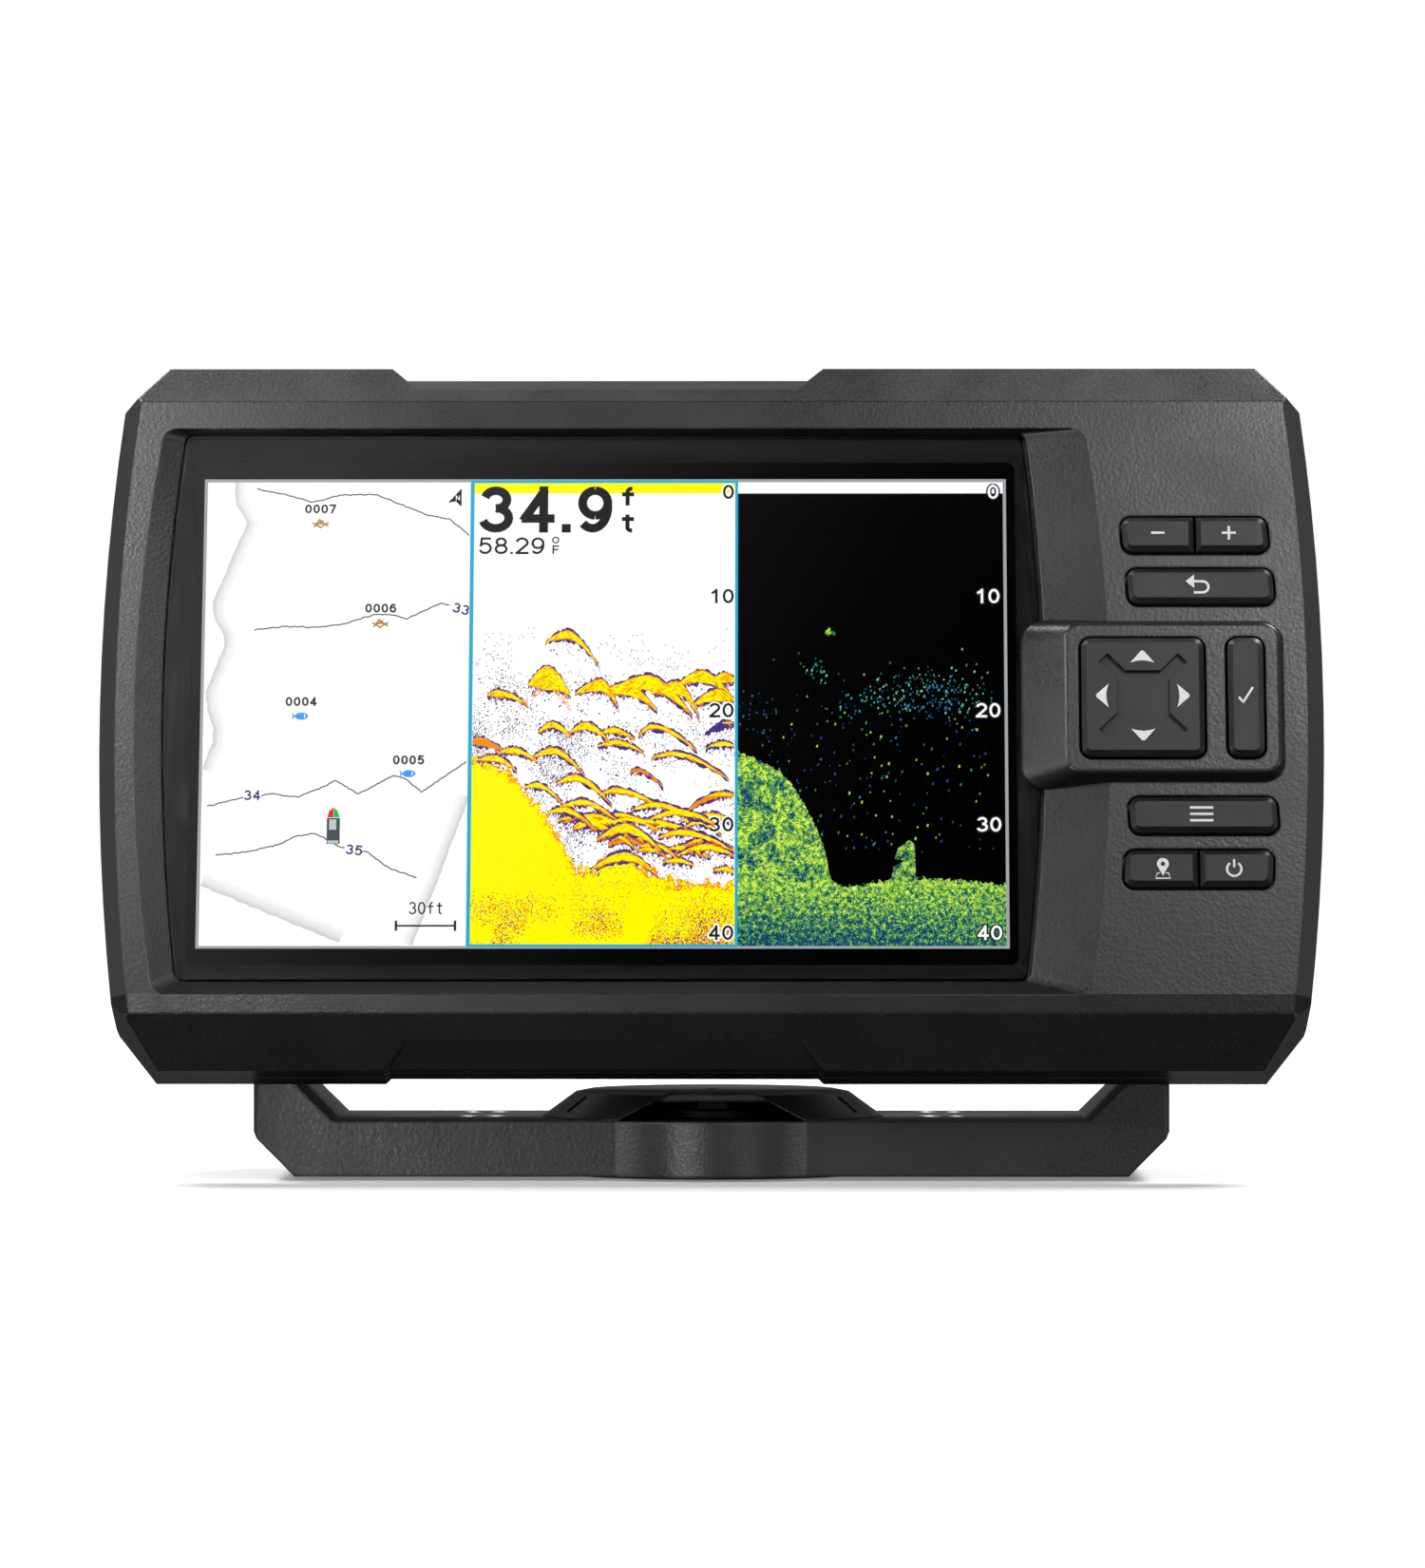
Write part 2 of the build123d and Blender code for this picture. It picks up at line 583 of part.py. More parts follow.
def keypad_pieces():
    parts["minus_key"] = half_key("zoom", -1)
    parts["plus_key"] = half_key("zoom", 1)
    parts["back_key"] = plain_key("back")
    parts["menu_key"] = plain_key("menu")
    parts["mark_key"] = half_key("mark", -1)
    parts["power_key"] = half_key("mark", 1)
    parts["select_key"] = plain_key("select", -ISLAND_RISE - KEY_RISE)
    parts["dpad_key"] = dpad_key()
    parts["dpad_actuator"] = dpad_actuator()
    parts["keypad_membrane"] = block(69.5, 107.8, MEMBRANE_FRONT, MEMBRANE_BACK, -41, 43)
    parts["keypad_board"] = block(69.5, 107.8, KEYBOARD_FRONT, KEYBOARD_BACK, -41, 43)
    spots = [(85.0, 33.9), (98.5, 33.9), (93.0, 23.6), (93.0, -21.4), (85.0, -31.9), (98.8, -31.9)]
    spots += [(101.1, 0.9)]
    spots += [(DPAD_X + x, DPAD_Z + z) for x, z in ((7.5, 0), (-7.5, 0), (0, 7.5), (0, -7.5))]
    domes = [rod_y(x, z, 2.5, KEYBOARD_FRONT - 0.5, KEYBOARD_FRONT) for x, z in spots]
    parts["switch_domes"] = group(domes)


# ---- rear sockets ----
def socket(x):
    body = rod_y(x, SOCKET_Z, 10.0, SOCKET_POCKET_FLOOR + 1.0, SOCKET_POCKET_FLOOR + 2.6)
    body += rod_y(x, SOCKET_Z, 8.5, SOCKET_POCKET_FLOOR - 4.5, SOCKET_MOUTH)
    body += rod_y(x, SOCKET_Z, 9.1, SOCKET_MOUTH - 3.2, SOCKET_MOUTH - 2.0)
    body -= rod_y(x, SOCKET_Z, SOCKET_BORE, SOCKET_MOUTH - SOCKET_BORE_LENGTH, SOCKET_MOUTH + 1)
    body -= rod_y(x, SOCKET_Z, SOCKET_BORE - 1, SOCKET_MOUTH - 9, SOCKET_MOUTH)
    return body


def socket_pins(x, count):
    pins = []
    for i in range(count):
        angle = math.radians(360 * i / count + 45)
        px = x + 3.2 * math.cos(angle)
        pz = SOCKET_Z + 3.2 * math.sin(angle)
        pins.append(rod_y(px, pz, 0.5, SOCKET_MOUTH - 9, SOCKET_MOUTH - 6.5))
    return pins


def socket_pieces():
    pins = []
    seals = []
    nuts = []
    for name, x in SOCKETS.items():
        parts[name + "_socket"] = socket(x)
        pins += socket_pins(x, 4 if name == "power" else 6)
        seal = rod_y(x, SOCKET_Z, 9.8, SOCKET_POCKET_FLOOR, SOCKET_POCKET_FLOOR + 1.0)
        seals.append(seal - rod_y(x, SOCKET_Z, 8.6, 30, 50))
        hexagon = Pos(x, SOCKET_Z) * (RegularPolygon(11.5, 6) - Circle(8.6))
        nuts.append(slab(hexagon, SOCKET_POCKET_FLOOR - 4.2, SOCKET_POCKET_FLOOR - 2.0))
    parts["socket_pins"] = group(pins)
    parts["socket_seals"] = group(seals)
    parts["socket_nuts"] = group(nuts)
    parts["breather_vent"] = breather_vent()


# ---- tilt pivots ----
def knob(side):
    """Ribbed tilt knob, on its stud, at one end of the tilt axis."""
    count = 10
    grip = Circle(KNOB_RADIUS)
    for i in range(count):
        angle = math.radians(360 * i / count)
        orbit = KNOB_RADIUS + 0.9
        grip -= Pos(orbit * math.cos(angle), orbit * math.sin(angle)) * Circle(2.0)
    inner, outer = KNOB_FACE, KNOB_END
    face = Plane(origin=(inner, PIVOT_DEPTH, 0), x_dir=(0, 1, 0), z_dir=(1, 0, 0))
    body = extrude(face * grip, amount=outer - inner)
    body = chamfer(body.faces().sort_by(Axis.X)[-1].edges(), 0.8)
    body -= rod_x(PIVOT_DEPTH, 0, 7.0, outer - 1.2, outer + 1)
    body -= rod_x(PIVOT_DEPTH, 0, STUD_RADIUS + 0.02, inner - 1, inner + 9)
    return body if side > 0 else mirror_x(body)


def tilt_pieces():
    bore = STUD_RADIUS + RUNNING_GAP
    washer_inner = ARM_OUTER + SEAT_GAP
    washer_outer = KNOB_FACE - SEAT_GAP
    for name, side in (("left", -1), ("right", 1)):
        parts[name + "_knob"] = knob(side)
        stud_ends = (side * (BOSS_FACE - 10), side * (KNOB_FACE + 8.9))
        parts[name + "_stud"] = rod_x(PIVOT_DEPTH, 0, STUD_RADIUS, *stud_ends)
        washer = rod_x(PIVOT_DEPTH, 0, 9.0, side * washer_inner, side * washer_outer)
        parts[name + "_knob_washer"] = washer - rod_x(PIVOT_DEPTH, 0, bore, side * 80, side * 95)
        insert = rod_x(PIVOT_DEPTH, 0, 4.95, side * (BOSS_FACE - 15), side * BOSS_FACE)
        insert -= rod_x(PIVOT_DEPTH, 0, bore, side * (BOSS_FACE - 14), side * (BOSS_FACE + 1))
        parts[name + "_insert"] = insert


# ---- bracket, in the part's frame ----
def bail_bracket():
    ramp = 10.0
    front_view = make_face(Polyline(
        (-ARM_OUTER + BAIL_CORNER, FLOOR_LOW),
        (ARM_OUTER - BAIL_CORNER, FLOOR_LOW),
        (ARM_OUTER, FLOOR_LOW + BAIL_CORNER),
        (ARM_OUTER, 120),
        (ARM_INNER, 120),
        (ARM_INNER, FLOOR_TOP + ramp),
        (ARM_INNER - ramp, FLOOR_TOP),
        (-ARM_INNER + ramp, FLOOR_TOP),
        (-ARM_INNER, FLOOR_TOP + ramp),
        (-ARM_INNER, 120),
        (-ARM_OUTER, 120),
        (-ARM_OUTER, FLOOR_LOW + BAIL_CORNER),
        close=True,
    ))
    bail = slab(front_view, -BAIL_HALF_DEPTH, BAIL_HALF_DEPTH)
    arm_view = make_face(Polyline(
        (-BAIL_HALF_DEPTH, 0),
        (BAIL_HALF_DEPTH, 0),
        (BAIL_HALF_DEPTH, FLOOR_TOP + 2),
        (PIVOT.Y + ARM_END_RADIUS, PIVOT.Z - 8),
        (PIVOT.Y + ARM_END_RADIUS, PIVOT.Z),
        (PIVOT.Y - ARM_END_RADIUS, PIVOT.Z),
        (PIVOT.Y - ARM_END_RADIUS, PIVOT.Z - 8),
        (-BAIL_HALF_DEPTH, ARM_UPRIGHT),
        close=True,
    ))
    arm_view += Pos(PIVOT.Y, PIVOT.Z) * Circle(ARM_END_RADIUS)
    bail &= extrude(Plane.YZ.offset(-100) * arm_view, amount=200)
    arms = bail.faces().filter_by(Axis.X).sort_by(Axis.X)
    bail = chamfer(arms[0].edges() + arms[-1].edges(), 0.8)
    bail += rod_z(0, 0, HUB_RADIUS, FLOOR_LOW, FLOOR_TOP)
    bail -= rod_z(0, 0, BASE_RADIUS + 1, FLOOR_LOW - 1, WEB_LOW)
    bail -= rod_z(0, 0, POST_RADIUS + RUNNING_GAP, 0, FLOOR_TOP + 1)
    bail -= stop_slot()
    for x in (-BAIL_SCREW_X, BAIL_SCREW_X):
        for y in BAIL_SCREW_Y:
            bail -= rod_z(x, y, BAIL_SCREW_RADIUS, 0, FLOOR_TOP + 1)
            bail -= Pos(x, y, FLOOR_TOP - 1.2) * Cone(BAIL_SCREW_RADIUS, 5.0, 2.4)
    bail -= [rod_x(PIVOT.Y, PIVOT.Z, STUD_RADIUS + RUNNING_GAP, side * 70, side * 95) for side in (-1, 1)]
    return bail


def stop_slot():
    """Arc groove under the bail that the base's stop pin runs in."""
    clear = STOP_PIN_RADIUS + 0.3
    ring = ring_z(STOP_PIN_ORBIT + clear, STOP_PIN_ORBIT - clear, WEB_LOW - 1, WEB_LOW + 2.5)
    half = math.radians(SWIVEL_LIMIT) + math.asin(clear / STOP_PIN_ORBIT)
    reach = 60
    edge = (reach * math.sin(half), reach * math.cos(half))
    far = [(0, 0), edge, (edge[0], reach), (-edge[0], reach), (-edge[0], edge[1])]
    sector = extrude(make_face(Polyline(*far, close=True)), amount=20)
    return ring & sector


def hub_cover():
    """Snap-on cover over the swivel bolt: a low cone with a flat top."""
    low = FLOOR_TOP + SEAT_GAP
    outer = [(0, low), (HUB_RADIUS, low), (26.5, 15.8), (23.9, 16.3), (0, 16.3)]
    inner = [(0, low - 1), (30.6, low - 1), (24.6, 14.5), (0, 14.8)]
    cover = revolve(Plane.XZ * make_face(Polyline(*outer, close=True)), Axis.Z)
    cover -= revolve(Plane.XZ * make_face(Polyline(*inner, close=True)), Axis.Z)
    half_mouth = [(18.5, 0), (18, low), (8.3, 16.0)]
    mouth = make_face(Polyline(*half_mouth, *[opposite(p) for p in reversed(half_mouth)], close=True))
    cover -= slab(mouth, -HUB_RADIUS - 5, -21.5)
    slit = block(-0.7, 0.7, -HUB_RADIUS, -24.5, 12.2, 15.0)
    cover -= [Rot(0, 0, side * SLIT_ANGLE) * slit for side in (-1, 1)]
    cover -= rod_z(0, 0, 2.2, 15.6, 17)
    return cover


def base_pieces():
    pattern = [
        (BASE_SCREW_ORBIT * math.cos(math.radians(a)), BASE_SCREW_ORBIT * math.sin(math.radians(a)))
        for a in (45, 135, 225, 315)
    ]
    pad = rod_z(0, 0, BASE_RADIUS - 0.5, 0, PAD_TOP)
    base = rod_z(0, 0, BASE_RADIUS, PAD_TOP, BASE_TOP)
    base = chamfer(base.faces().sort_by(Axis.Z)[-1].edges(), 0.6)
    base += rod_z(0, 0, POST_RADIUS, PAD_TOP, FLOOR_TOP + 0.3)
    base += rod_z(0, STOP_PIN_ORBIT, STOP_PIN_RADIUS, PAD_TOP, WEB_LOW + 2)
    base -= rod_z(0, 0, 3.1, PAD_TOP + 1.5, FLOOR_TOP + 2)
    for x, y in pattern:
        pad -= rod_z(x, y, BASE_SCREW_RADIUS, -1, PAD_TOP + 1)
        base -= rod_z(x, y, BASE_SCREW_RADIUS, 0, BASE_TOP + 1)
        base -= Pos(x, y, BASE_TOP - 0.9) * Cone(BASE_SCREW_RADIUS, 4.0, 1.8)
    parts["base_pad"] = pad
    parts["swivel_base"] = base
    parts["thrust_washer"] = ring_z(17.0, POST_RADIUS + 0.3, BASE_TOP, WEB_LOW - SEAT_GAP)
    plate_low = FLOOR_TOP + 0.3
    parts["retaining_plate"] = ring_z(15.0, 3.1, plate_low, plate_low + 1.2)
    head_low = plate_low + 1.2
    bolt = rod_z(0, 0, 3.0, PAD_TOP + 2, head_low + 0.1)
    bolt += extrude(Plane.XY.offset(head_low) * RegularPolygon(5.6, 6), amount=1.9)
    parts["swivel_bolt"] = bolt


def arm_pads():
    """Rubber friction rings between the bail arms and the head's tilt bosses."""
    pads = []
    for side in (-1, 1):
        pad = rod_x(PIVOT.Y, PIVOT.Z, 11.0, side * (BOSS_FACE + SEAT_GAP), side * ARM_INNER)
        pads.append(pad - rod_x(PIVOT.Y, PIVOT.Z, STUD_RADIUS + 0.4, side * 70, side * 95))
    return group(pads)


# ---- assembly ----
parts["front_bezel"] = front_bezel()
parts["case_gasket"] = case_gasket()
parts["rear_housing"] = rear_housing()
display_pieces()
board_pieces()
flex_cables()
keypad_pieces()
socket_pieces()
tilt_pieces()
head_names = list(parts)
for name in head_names:
    parts[name] = HEAD * parts[name]

base_pieces()
parts["bail_bracket"] = bail_bracket()
parts["hub_cover"] = hub_cover()
parts["arm_pads"] = arm_pads()

os.makedirs("parts", exist_ok=True)
for name, shape in parts.items():
    export_step(shape, "parts/" + name + ".step")
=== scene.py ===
import json
import math
import random

import bpy
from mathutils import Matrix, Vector
from mathutils.geometry import tessellate_polygon


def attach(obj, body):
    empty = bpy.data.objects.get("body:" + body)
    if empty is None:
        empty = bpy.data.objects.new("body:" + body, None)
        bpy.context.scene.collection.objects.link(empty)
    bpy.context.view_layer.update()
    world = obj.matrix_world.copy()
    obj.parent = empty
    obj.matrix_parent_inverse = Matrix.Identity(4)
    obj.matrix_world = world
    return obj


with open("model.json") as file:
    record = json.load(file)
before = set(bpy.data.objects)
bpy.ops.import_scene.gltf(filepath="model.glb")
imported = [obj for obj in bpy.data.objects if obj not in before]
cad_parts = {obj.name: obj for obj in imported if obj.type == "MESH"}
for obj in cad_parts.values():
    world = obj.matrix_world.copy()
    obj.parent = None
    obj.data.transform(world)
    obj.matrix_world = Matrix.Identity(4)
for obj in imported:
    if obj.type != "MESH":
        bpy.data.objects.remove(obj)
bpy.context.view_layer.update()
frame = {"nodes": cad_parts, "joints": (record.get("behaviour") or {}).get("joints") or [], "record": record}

# Looks of a fish finder on its tilt and swivel bracket. The CAD frame is in metres.
# Most pieces lie on the leaning front of the head, so they are drawn in face millimetres:
# x to the right, u up the face, w into the unit from the front face.

MM = 0.001

# ---- the head's frame, from the CAD model ----
JOINTS = {joint["name"]: joint for joint in frame["joints"]}
INTO = Vector(JOINTS["menu_key_press"]["axis"]).normalized()
RIGHT = Vector((1, 0, 0))
UP_FACE = RIGHT.cross(INTO)
PIVOT = Vector(JOINTS["tilt"]["pos_m"])
PIVOT_DEPTH = 33 * MM
FACE_ORIGIN = PIVOT - INTO * PIVOT_DEPTH

# ---- depths behind the front face, millimetres ----
PRINT_DEPTH = 4.34       # the black border, just behind the glass
PICTURE_DEPTH = 4.74     # the lit picture, just in front of the panel
OVERLAY_STEP = 0.03      # between two layers of the picture
KEY_FRONT = -1.5
ISLAND_KEY_FRONT = -4.5
ICON_RISE = 0.03

# ---- the display: a 7 inch panel of three equal panes ----
SCREEN_X = -20.46
SCREEN_WIDTH = 152.4
SCREEN_HEIGHT = 91.44
SCREEN_LEFT = SCREEN_X - SCREEN_WIDTH / 2
SCREEN_BOTTOM = -SCREEN_HEIGHT / 2
FRAME_WIDTH = 0.6
PANE_1 = SCREEN_WIDTH / 3
PANE_2 = SCREEN_WIDTH * 2 / 3
TITLE_BAR = 89.2         # the strip of plain colour at the top of a sonar pane begins here


def at(x, u, w):
    """A point given in face millimetres, in the part's frame."""
    return FACE_ORIGIN + (RIGHT * x + UP_FACE * u + INTO * w) * MM


# ---- node helpers ----
class NodeTree:
    """A small wrapper that adds nodes and links to the tree of a material or a world."""

    def __init__(self, tree):
        self.tree = tree

    def node(self, kind, **values):
        node = self.tree.nodes.new(kind)
        for key, value in values.items():
            setattr(node, key, value)
        return node

    def link(self, source, target):
        self.tree.links.new(source, target)
        return target

    def ramp(self, source, stops):
        ramp = self.node("ShaderNodeValToRGB")
        elements = ramp.color_ramp.elements
        while len(elements) < len(stops):
            elements.new(0.5)
        for element, (position, colour) in zip(elements, stops):
            element.position = position
            element.color = (*colour, 1.0)
        self.link(source, ramp.inputs["Fac"])
        return ramp.outputs["Color"]

    def grey_ramp(self, source, stops, low, high):
        """Greys at places between low and high on the source's own scale."""
        share = self.spread(source, 0.0, 1.0, low, high)
        return self.ramp(share, [((place - low) / (high - low), (grey, grey, grey)) for place, grey in stops])

    def spread(self, source, low, high, from_low=0.0, from_high=1.0):
        """Maps a value from one range to another."""
        spread = self.node("ShaderNodeMapRange")
        spread.inputs["From Min"].default_value = from_low
        spread.inputs["From Max"].default_value = from_high
        spread.inputs["To Min"].default_value = low
        spread.inputs["To Max"].default_value = high
        self.link(source, spread.inputs["Value"])
        return spread.outputs["Result"]

    def maths(self, operation, first, second=None):
        maths = self.node("ShaderNodeMath", operation=operation)
        for socket, value in zip(maths.inputs, (first, second)):
            if isinstance(value, (int, float)):
                socket.default_value = value
            elif value is not None:
                self.link(value, socket)
        return maths.outputs["Value"]

    def mix(self, factor, first, second):
        mix = self.node("ShaderNodeMix", data_type="RGBA")
        for index, value in ((0, factor), (6, first), (7, second)):
            socket = mix.inputs[index]
            if isinstance(value, (int, float)):
                socket.default_value = value
            elif isinstance(value, tuple):
                socket.default_value = (*value, 1.0)
            else:
                self.link(value, socket)
        return mix.outputs[2]


class Shader(NodeTree):
    """The nodes of one material."""

    def __init__(self, name):
        self.material = bpy.data.materials.new(name)
        self.material.use_nodes = True
        super().__init__(self.material.node_tree)
        self.bsdf = self.tree.nodes["Principled BSDF"]

    def coords(self, scale=1.0, stretch=(1, 1, 1)):
        """Object coordinates in metres, scaled."""
        position = self.node("ShaderNodeTexCoord")
        mapping = self.node("ShaderNodeMapping")
        mapping.inputs["Scale"].default_value = [scale * value for value in stretch]
        self.link(position.outputs["Object"], mapping.inputs["Vector"])
        return mapping.outputs["Vector"]

    def noise(self, scale, detail=2.0, rough=0.5, stretch=(1, 1, 1)):
        noise = self.node("ShaderNodeTexNoise")
        noise.inputs["Scale"].default_value = 1.0
        noise.inputs["Detail"].default_value = detail
        noise.inputs["Roughness"].default_value = rough
        self.link(self.coords(scale, stretch), noise.inputs["Vector"])
        return noise.outputs["Fac"]

    def cells(self, scale, randomness=1.0):
        cells = self.node("ShaderNodeTexVoronoi")
        cells.inputs["Scale"].default_value = 1.0
        cells.inputs["Randomness"].default_value = randomness
        self.link(self.coords(scale), cells.inputs["Vector"])
        return cells.outputs["Distance"]

    def bump(self, height, distance, strength=1.0, normal=None):
        bump = self.node("ShaderNodeBump")
        bump.inputs["Distance"].default_value = distance
        bump.inputs["Strength"].default_value = strength
        self.link(height, bump.inputs["Height"])
        if normal is not None:
            self.link(normal, bump.inputs["Normal"])
        return bump.outputs["Normal"]

    def soft_edges(self, radius):
        """Normals rounded over sharp edges."""
        bevel = self.node("ShaderNodeBevel", samples=4)
        bevel.inputs["Radius"].default_value = radius
        return bevel.outputs["Normal"]

    def set(self, **values):
        for name, value in values.items():
            socket = self.bsdf.inputs[name.replace("_", " ")]
            if hasattr(value, "is_output"):
                self.link(value, socket)
            else:
                socket.default_value = value


# ---- materials ----
LIP_TOP = -56.0          # face millimetres
LIP_BOTTOM = -59.6
LIP_FALL = 1.1 * MM


def leaning_lip(s):
    """Shades the strip under the glass as if it leaned back towards its lower edge."""
    position = s.node("ShaderNodeTexCoord")
    along = s.node("ShaderNodeVectorMath", operation="DOT_PRODUCT")
    along.inputs[1].default_value = tuple(UP_FACE)
    s.link(position.outputs["Object"], along.inputs[0])
    top = at(0, LIP_TOP, 0).dot(UP_FACE)
    bottom = at(0, LIP_BOTTOM, 0).dot(UP_FACE)
    return s.spread(along.outputs["Value"], 0.0, -LIP_FALL, top, bottom)


def moulded_plastic(name, dark, light, roughness, grain, depth, edge=0.25 * MM, lip=False):
    """Textured moulded plastic: spark-eroded grain, faint blotches, slightly polished high spots."""
    s = Shader(name)
    fine = s.noise(1 / grain, detail=3.0, rough=0.6)
    pits = s.cells(0.55 / grain)
    blotch = s.noise(45, detail=4.0, rough=0.55)
    tone = s.mix(s.spread(fine, 0.0, 1.0, 0.3, 0.7), dark, light)
    tone = s.mix(s.spread(blotch, 0.0, 0.35, 0.35, 0.75), tone, light)
    s.set(Base_Color=tone)
    rough = s.spread(blotch, roughness - 0.05, roughness + 0.06, 0.3, 0.7)
    rough = s.maths("ADD", rough, s.spread(fine, -0.05, 0.05, 0.3, 0.7))
    s.set(Roughness=rough)
    height = s.maths("ADD", s.spread(pits, 0.0, 1.0, 0.0, 0.8), fine)
    normal = s.soft_edges(edge)
    if lip:
        normal = s.bump(leaning_lip(s), 1.0, normal=normal)
    s.set(Normal=s.bump(height, depth, 0.8, normal))
    s.bsdf.inputs["Specular IOR Level"].default_value = 0.5
    return s.material


def cover_glass():
    s = Shader("cover_glass")
    haze = s.noise(60, detail=3.0)
    s.set(Roughness=s.spread(haze, 0.0, 0.03, 0.35, 0.8))
    s.set(Base_Color=(0.97, 0.98, 0.98, 1.0))
    s.bsdf.inputs["Transmission Weight"].default_value = 1.0
    s.bsdf.inputs["IOR"].default_value = 1.5
    return s.material


def glossy_print():
    """Black ink printed on the back of the glass."""
    s = Shader("glass_print")
    fleck = s.noise(3000, detail=1.0)
    s.set(Base_Color=s.ramp(fleck, [(0.35, (0.0010, 0.0010, 0.0012)), (0.75, (0.0024, 0.0024, 0.0026))]))
    s.set(Roughness=s.spread(fleck, 0.5, 0.65, 0.3, 0.7))
    s.bsdf.inputs["Specular IOR Level"].default_value = 0.0
    return s.material


def soft_rubber(name, dark, light, roughness):
    s = Shader(name)
    grain = s.noise(5200, detail=2.0)
    dust = s.noise(90, detail=5.0, rough=0.65)
    s.set(Base_Color=s.mix(s.spread(dust, 0.0, 1.0, 0.35, 0.75), dark, light))
    s.set(Roughness=s.spread(dust, roughness - 0.06, roughness + 0.08, 0.3, 0.7))
    s.set(Normal=s.bump(grain, 0.02 * MM, 0.6, s.soft_edges(0.2 * MM)))
    s.bsdf.inputs["Specular IOR Level"].default_value = 0.36
    return s.material


def brushed_metal(name, colour, roughness, stretch=(1, 12, 1)):
    s = Shader(name)
    brush = s.noise(1400, detail=3.0, stretch=stretch)
    stain = s.noise(120, detail=4.0)
    dark = tuple(value * 0.82 for value in colour)
    s.set(Base_Color=s.mix(s.spread(stain, 0.0, 0.6, 0.4, 0.8), colour, dark))
    s.set(Roughness=s.spread(brush, roughness - 0.08, roughness + 0.1, 0.3, 0.7))
    s.set(Normal=s.bump(brush, 0.01 * MM, 0.5, s.soft_edges(0.1 * MM)))
    s.bsdf.inputs["Metallic"].default_value = 1.0
    return s.material


def circuit_board():
    s = Shader("circuit_board")
    tracks = s.cells(700, 0.4)
    weave = s.noise(2500, detail=1.0, stretch=(1, 8, 1))
    s.set(Base_Color=s.ramp(tracks, [(0.1, (0.01, 0.14, 0.05)), (0.4, (0.015, 0.2, 0.08))]))
    s.set(Roughness=s.spread(weave, 0.3, 0.45, 0.3, 0.7))
    s.set(Normal=s.bump(tracks, 0.03 * MM, 0.5))
    return s.material


MATERIALS = {
    "case_plastic": moulded_plastic(
        "case_plastic", (0.008, 0.008, 0.0085), (0.015, 0.015, 0.016), 0.33,
        0.42 * MM, 0.020 * MM, 0.55 * MM, lip=True),
    "bracket_plastic": moulded_plastic(
        "bracket_plastic", (0.010, 0.010, 0.0105), (0.020, 0.020, 0.021), 0.36, 0.42 * MM, 0.024 * MM, 0.7 * MM),
    "knob_plastic": moulded_plastic(
        "knob_plastic", (0.012, 0.012, 0.0125), (0.024, 0.024, 0.025), 0.42, 0.22 * MM, 0.01 * MM, 0.4 * MM),
    "black_plastic": moulded_plastic(
        "black_plastic", (0.012, 0.012, 0.013), (0.026, 0.026, 0.027), 0.45, 0.2 * MM, 0.012 * MM),
    "white_plastic": moulded_plastic(
        "white_plastic", (0.62, 0.62, 0.60), (0.74, 0.74, 0.72), 0.5, 0.2 * MM, 0.01 * MM),
    "acetal": moulded_plastic("acetal", (0.66, 0.66, 0.63), (0.78, 0.78, 0.75), 0.4, 0.2 * MM, 0.008 * MM),
    "ferrite": moulded_plastic("ferrite", (0.05, 0.05, 0.052), (0.09, 0.09, 0.095), 0.6, 0.2 * MM, 0.02 * MM),
    "ceramic": moulded_plastic("ceramic", (0.5, 0.46, 0.38), (0.62, 0.57, 0.48), 0.55, 0.2 * MM, 0.02 * MM),
    "flex": moulded_plastic("flex", (0.45, 0.22, 0.03), (0.6, 0.32, 0.06), 0.3, 0.3 * MM, 0.005 * MM),
    "key_rubber": soft_rubber("key_rubber", (0.010, 0.010, 0.0105), (0.018, 0.018, 0.019), 0.42),
    "silicone": soft_rubber("silicone", (0.09, 0.09, 0.10), (0.13, 0.13, 0.14), 0.55),
    "seal_rubber": soft_rubber("seal_rubber", (0.012, 0.012, 0.012), (0.03, 0.03, 0.03), 0.62),
    "adhesive": soft_rubber("adhesive", (0.01, 0.01, 0.01), (0.02, 0.02, 0.02), 0.7),
    "accent_seal": soft_rubber("accent_seal", (0.008, 0.10, 0.16), (0.012, 0.14, 0.21), 0.45),
    "steel": brushed_metal("steel", (0.55, 0.55, 0.56), 0.32),
    # Nearly black metal, far darker than steel: the bolt and plate inside the hub's slot are painted this dark as
    # painted shade, standing in for the shade inside the slot
    "dark_steel": brushed_metal("dark_steel", (0.010, 0.010, 0.011), 0.5),
    "aluminium": brushed_metal("aluminium", (0.75, 0.76, 0.77), 0.3),
    "brass": brushed_metal("brass", (0.8, 0.58, 0.26), 0.28),
    "cover_glass": cover_glass(),
    "circuit_board": circuit_board(),
    "lcd": glossy_print(),
}


def paint_nodes():
    """Gives every CAD node the material of its slot."""
    slots = {part["node"]: part["material_slot"] for part in frame["record"]["subparts"]}
    for name, node in frame["nodes"].items():
        for slot in node.material_slots:
            slot.material = MATERIALS[slots[name]]


# ---- mesh helpers ----
def mesh_piece(name, points, faces, material, body="head"):
    mesh = bpy.data.meshes.new(name)
    mesh.from_pydata(points, [], faces)
    mesh.update()
    piece = bpy.data.objects.new(name, mesh)
    bpy.context.scene.collection.objects.link(piece)
    mesh.materials.append(material)
    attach(piece, body)
    return piece


def flat_shapes(name, outlines, depth, material, body="head"):
    """One flat piece of several polygons, each a list of (x, u) face millimetres."""
    points = []
    faces = []
    for outline in outlines:
        first = len(points)
        points += [at(x, u, depth) for x, u in outline]
        triangles = tessellate_polygon([[Vector((x, u, 0)) for x, u in outline]])
        for a, b, c in triangles:
            (ax, au), (bx, bu), (cx, cu) = outline[a], outline[b], outline[c]
            turn = (bx - ax) * (cu - au) - (bu - au) * (cx - ax)
            faces.append((first + a, first + b, first + c) if turn > 0 else (first + a, first + c, first + b))
    return mesh_piece(name, points, faces, material, body)


